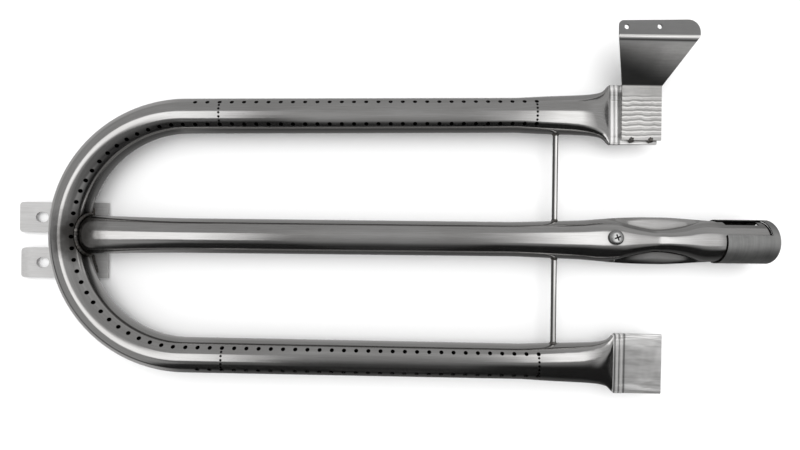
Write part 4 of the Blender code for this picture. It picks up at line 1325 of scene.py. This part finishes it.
def make_world():
    """What the steel reflects is a studio; everything else is lit by a plain pale dome."""
    world = bpy.data.worlds.new("studio")
    world.use_nodes = True
    bpy.context.scene.world = world
    tree = world.node_tree
    tree.nodes.clear()
    direction = node(tree, "TexCoord").outputs["Generated"]
    parts = split(tree, direction)
    x, y, z = parts["X"], parts["Y"], parts["Z"]

    # From front to rear over the top: dark in front, a grey wall behind
    swing = maths(tree, "ARCTAN2", y, z)
    place = maths(tree, "MULTIPLY_ADD", swing, 0.5 / math.pi, 0.5)
    wall = ramp(tree, place, (
        (0.0, 0.2), (0.222, 0.06), (0.25, 0.03), (0.278, 0.026), (0.347, 0.05), (0.389, 0.1),
        (0.417, 0.14), (0.461, 0.16), (0.478, 0.27), (0.5, 0.43), (0.542, 0.34), (0.833, 0.33),
        (1.0, 0.5),
    ))
    height = maths(tree, "MAXIMUM", z, 0.02)
    across = maths(tree, "DIVIDE", x, height)
    ahead = maths(tree, "DIVIDE", y, height)
    above = smooth_step(tree, z, 0.05, 0.2)
    least_y = maths(tree, "MAXIMUM", maths(tree, "ABSOLUTE", y), 0.02)
    aside = maths(tree, "DIVIDE", maths(tree, "ABSOLUTE", x), least_y)

    # Beyond the ceiling panels the room is a middle grey, and low in front it is black
    beyond = times(tree, above, smooth_step(tree, maths(tree, "ABSOLUTE", across), 0.5, 0.7))
    beyond = times(tree, beyond, smooth_step(tree, aside, 0.45, 0.75))
    wall = mixed(tree, beyond, wall, ROOM_GREY)
    in_front = times(tree, smooth_step(tree, ahead, -0.85, -1.2), smooth_step(tree, z, -0.02, 0.06))
    pit = times(tree, smooth_step(tree, maths(tree, "ABSOLUTE", across), 0.24, 0.3), in_front)
    pit = times(tree, pit, smooth_step(tree, aside, 0.8, 0.6))
    wall = mixed(tree, pit, wall, grey(0.014))

    # The floor far to the left is bright and the right side is dim
    glow = panel(tree, z, -0.8, -0.04, 0.06)
    left = times(tree, smooth_step(tree, x, -0.3, -0.6), glow)
    right = times(tree, smooth_step(tree, x, 0.45, 0.8), smooth_step(tree, z, 0.3, 0.0))
    wall = mixed(tree, left, wall, grey(0.5))
    wall = mixed(tree, right, wall, grey(0.05))

    # A bright panel in the ceiling to the left fades towards a dim gap over the middle
    reach = times(tree, smooth_step(tree, across, -0.78, -0.7), smooth_step(tree, across, -0.24, -0.44))
    first = times(tree, reach, panel(tree, ahead, -0.45, 0.38, 0.04))
    lit = times(tree, above, first)
    studio = mixed(tree, lit, wall, PANEL_GLOW)

    path = node(tree, "LightPath")
    white = {"Color": (1.0, 1.0, 1.0, 1.0), "Strength": BACKGROUND_GLOW}
    plain = node(tree, "Background", white).outputs[0]
    seen = node(tree, "Background", {"Color": studio, "Strength": 1.0}).outputs[0]
    both = node(tree, "MixShader", {0: path.outputs["Is Glossy Ray"], 1: plain, 2: seen}).outputs[0]
    node(tree, "OutputWorld", {"Surface": both})


def make_ceiling():
    """What hangs low over the right of the burner: dim in front, with one bright panel.

    It is seen only as its reflection in the steel.
    """
    bm = bmesh.new()
    corners = ((0.0, -1.4), (1.6, -1.4), (1.6, 1.4), (0.0, 1.4))
    bm.faces.new([bm.verts.new((x, y, 0.0)) for x, y in corners])
    mesh = bpy.data.meshes.new("low_ceiling")
    bm.to_mesh(mesh)
    bm.free()
    ceiling = bpy.data.objects.new("low_ceiling", mesh)
    ceiling.location = DATUM + Vector((0.0, 0.0, CEILING_HEIGHT))
    bpy.context.scene.collection.objects.link(ceiling)
    ceiling.visible_camera = False
    ceiling.visible_diffuse = False
    ceiling.visible_transmission = False
    ceiling.visible_shadow = False

    material = bpy.data.materials.new("low_ceiling")
    material.use_nodes = True
    tree = material.node_tree
    tree.nodes.clear()
    parts = split(tree, object_place(tree))
    x, y = parts["X"], parts["Y"]
    depth = node(tree, "MapRange", {"Value": y, "From Min": -0.5, "From Max": 0.2}).outputs["Result"]
    wall = ramp(tree, depth, (
        (0.0, 0.035), (0.3, 0.025), (0.477, 0.075), (0.51, 0.12), (0.553, 0.18), (0.594, 0.25),
        (0.633, 0.28), (0.68, 0.31), (0.756, 0.38), (0.8, 0.42), (0.93, 0.38), (1.0, 0.36),
    ))
    column = smooth_step(tree, x, 0.22, 0.28)
    pit = times(tree, column, smooth_step(tree, y, -0.09, -0.17))
    wall = mixed(tree, pit, wall, grey(0.01))
    beyond = times(tree, smooth_step(tree, x, 0.42, 0.52), smooth_step(tree, y, -0.2, -0.09))
    wall = mixed(tree, beyond, wall, FAR_CEILING_GREY)
    place = node(tree, "MapRange", {"Value": x, "From Min": 0.2, "From Max": 0.6}).outputs["Result"]
    across = ramp(tree, place, (
        (0.1, 0.0), (0.2, 0.18), (0.29, 0.6), (0.35, 1.0), (0.48, 1.0), (0.6, 0.4), (0.78, 0.0),
    ))
    lit = times(tree, across, panel(tree, y, -0.068, 0.145, 0.008))
    seen = mixed(tree, lit, wall, PANEL_GLOW)
    glow = node(tree, "Emission", {"Color": seen, "Strength": 1.0}).outputs[0]
    open_air = node(tree, "BsdfTransparent").outputs[0]
    share = smooth_step(tree, x, 0.01, 0.06)
    made = node(tree, "MixShader", {0: share, 1: open_air, 2: glow}).outputs[0]
    node(tree, "OutputMaterial", {"Surface": made})
    mesh.materials.append(material)


def make_lights():
    centre = (cad_low + cad_high) / 2
    data = bpy.data.lights.new("overhead_softbox", "AREA")
    data.shape = "RECTANGLE"
    data.size, data.size_y = 1.4, 1.0
    data.energy = 8.0
    light = bpy.data.objects.new("overhead_softbox", data)
    light.location = centre + Vector((0.0, 0.35, 1.1))
    light.rotation_euler = (centre - light.location).to_track_quat("-Z", "Y").to_euler()
    light.visible_glossy = False
    bpy.context.scene.collection.objects.link(light)


dirt_and_shade_edge = make_shadow_steel()
tube_steel = make_brushed(
    "tube_steel", (0.5, 0.49, 0.48), (0.62, 0.615, 0.61), (0.1, 0.16), "UV", soot_and_shade=True,
)
crimp_steel = make_brushed(
    "crimp_steel", (0.36, 0.355, 0.35), (0.68, 0.675, 0.67), (0.24, 0.38), "UV",
    wrinkles=0.8, metal=0.6,
)
strap_steel = make_brushed(
    "strap_steel", (0.5, 0.495, 0.49), (0.66, 0.655, 0.65), (0.4, 0.52), "Object",
    scuffs=0.3, metal=0.45, crease_shade_strength=0.0,
)
rod_steel = make_brushed(
    "rod_steel", (0.62, 0.61, 0.6), (0.8, 0.79, 0.78), (0.12, 0.2), "Object",
    grain=(1600.0, 30.0, 1600.0), anisotropy=0.0, metal=0.45, painted_lit_crest=ROD_X,
)
screw_steel = make_brushed(
    "screw_steel", grey(0.42), (0.6, 0.6, 0.59), (0.18, 0.3), "Object",
    grain=(300.0, 300.0, 300.0), anisotropy=0.0,
)
shutter_steel = make_shutter_steel()
bracket_steel = make_ground_sheet()
weld_metal = make_weld_material()

make_burner_tube()
make_feed_tube()
make_junction_weld()
make_air_shutter()
make_screw()
for rod_name, rod_side in (("rear", 1), ("front", -1)):
    make_cross_rod(rod_name, rod_side)
for strap_name in STRAP_MIDDLES:
    make_strap(strap_name)
make_bracket()

make_camera()
make_stage()
make_world()
make_ceiling()
make_lights()
bpy.context.scene.view_settings.view_transform = "Standard"
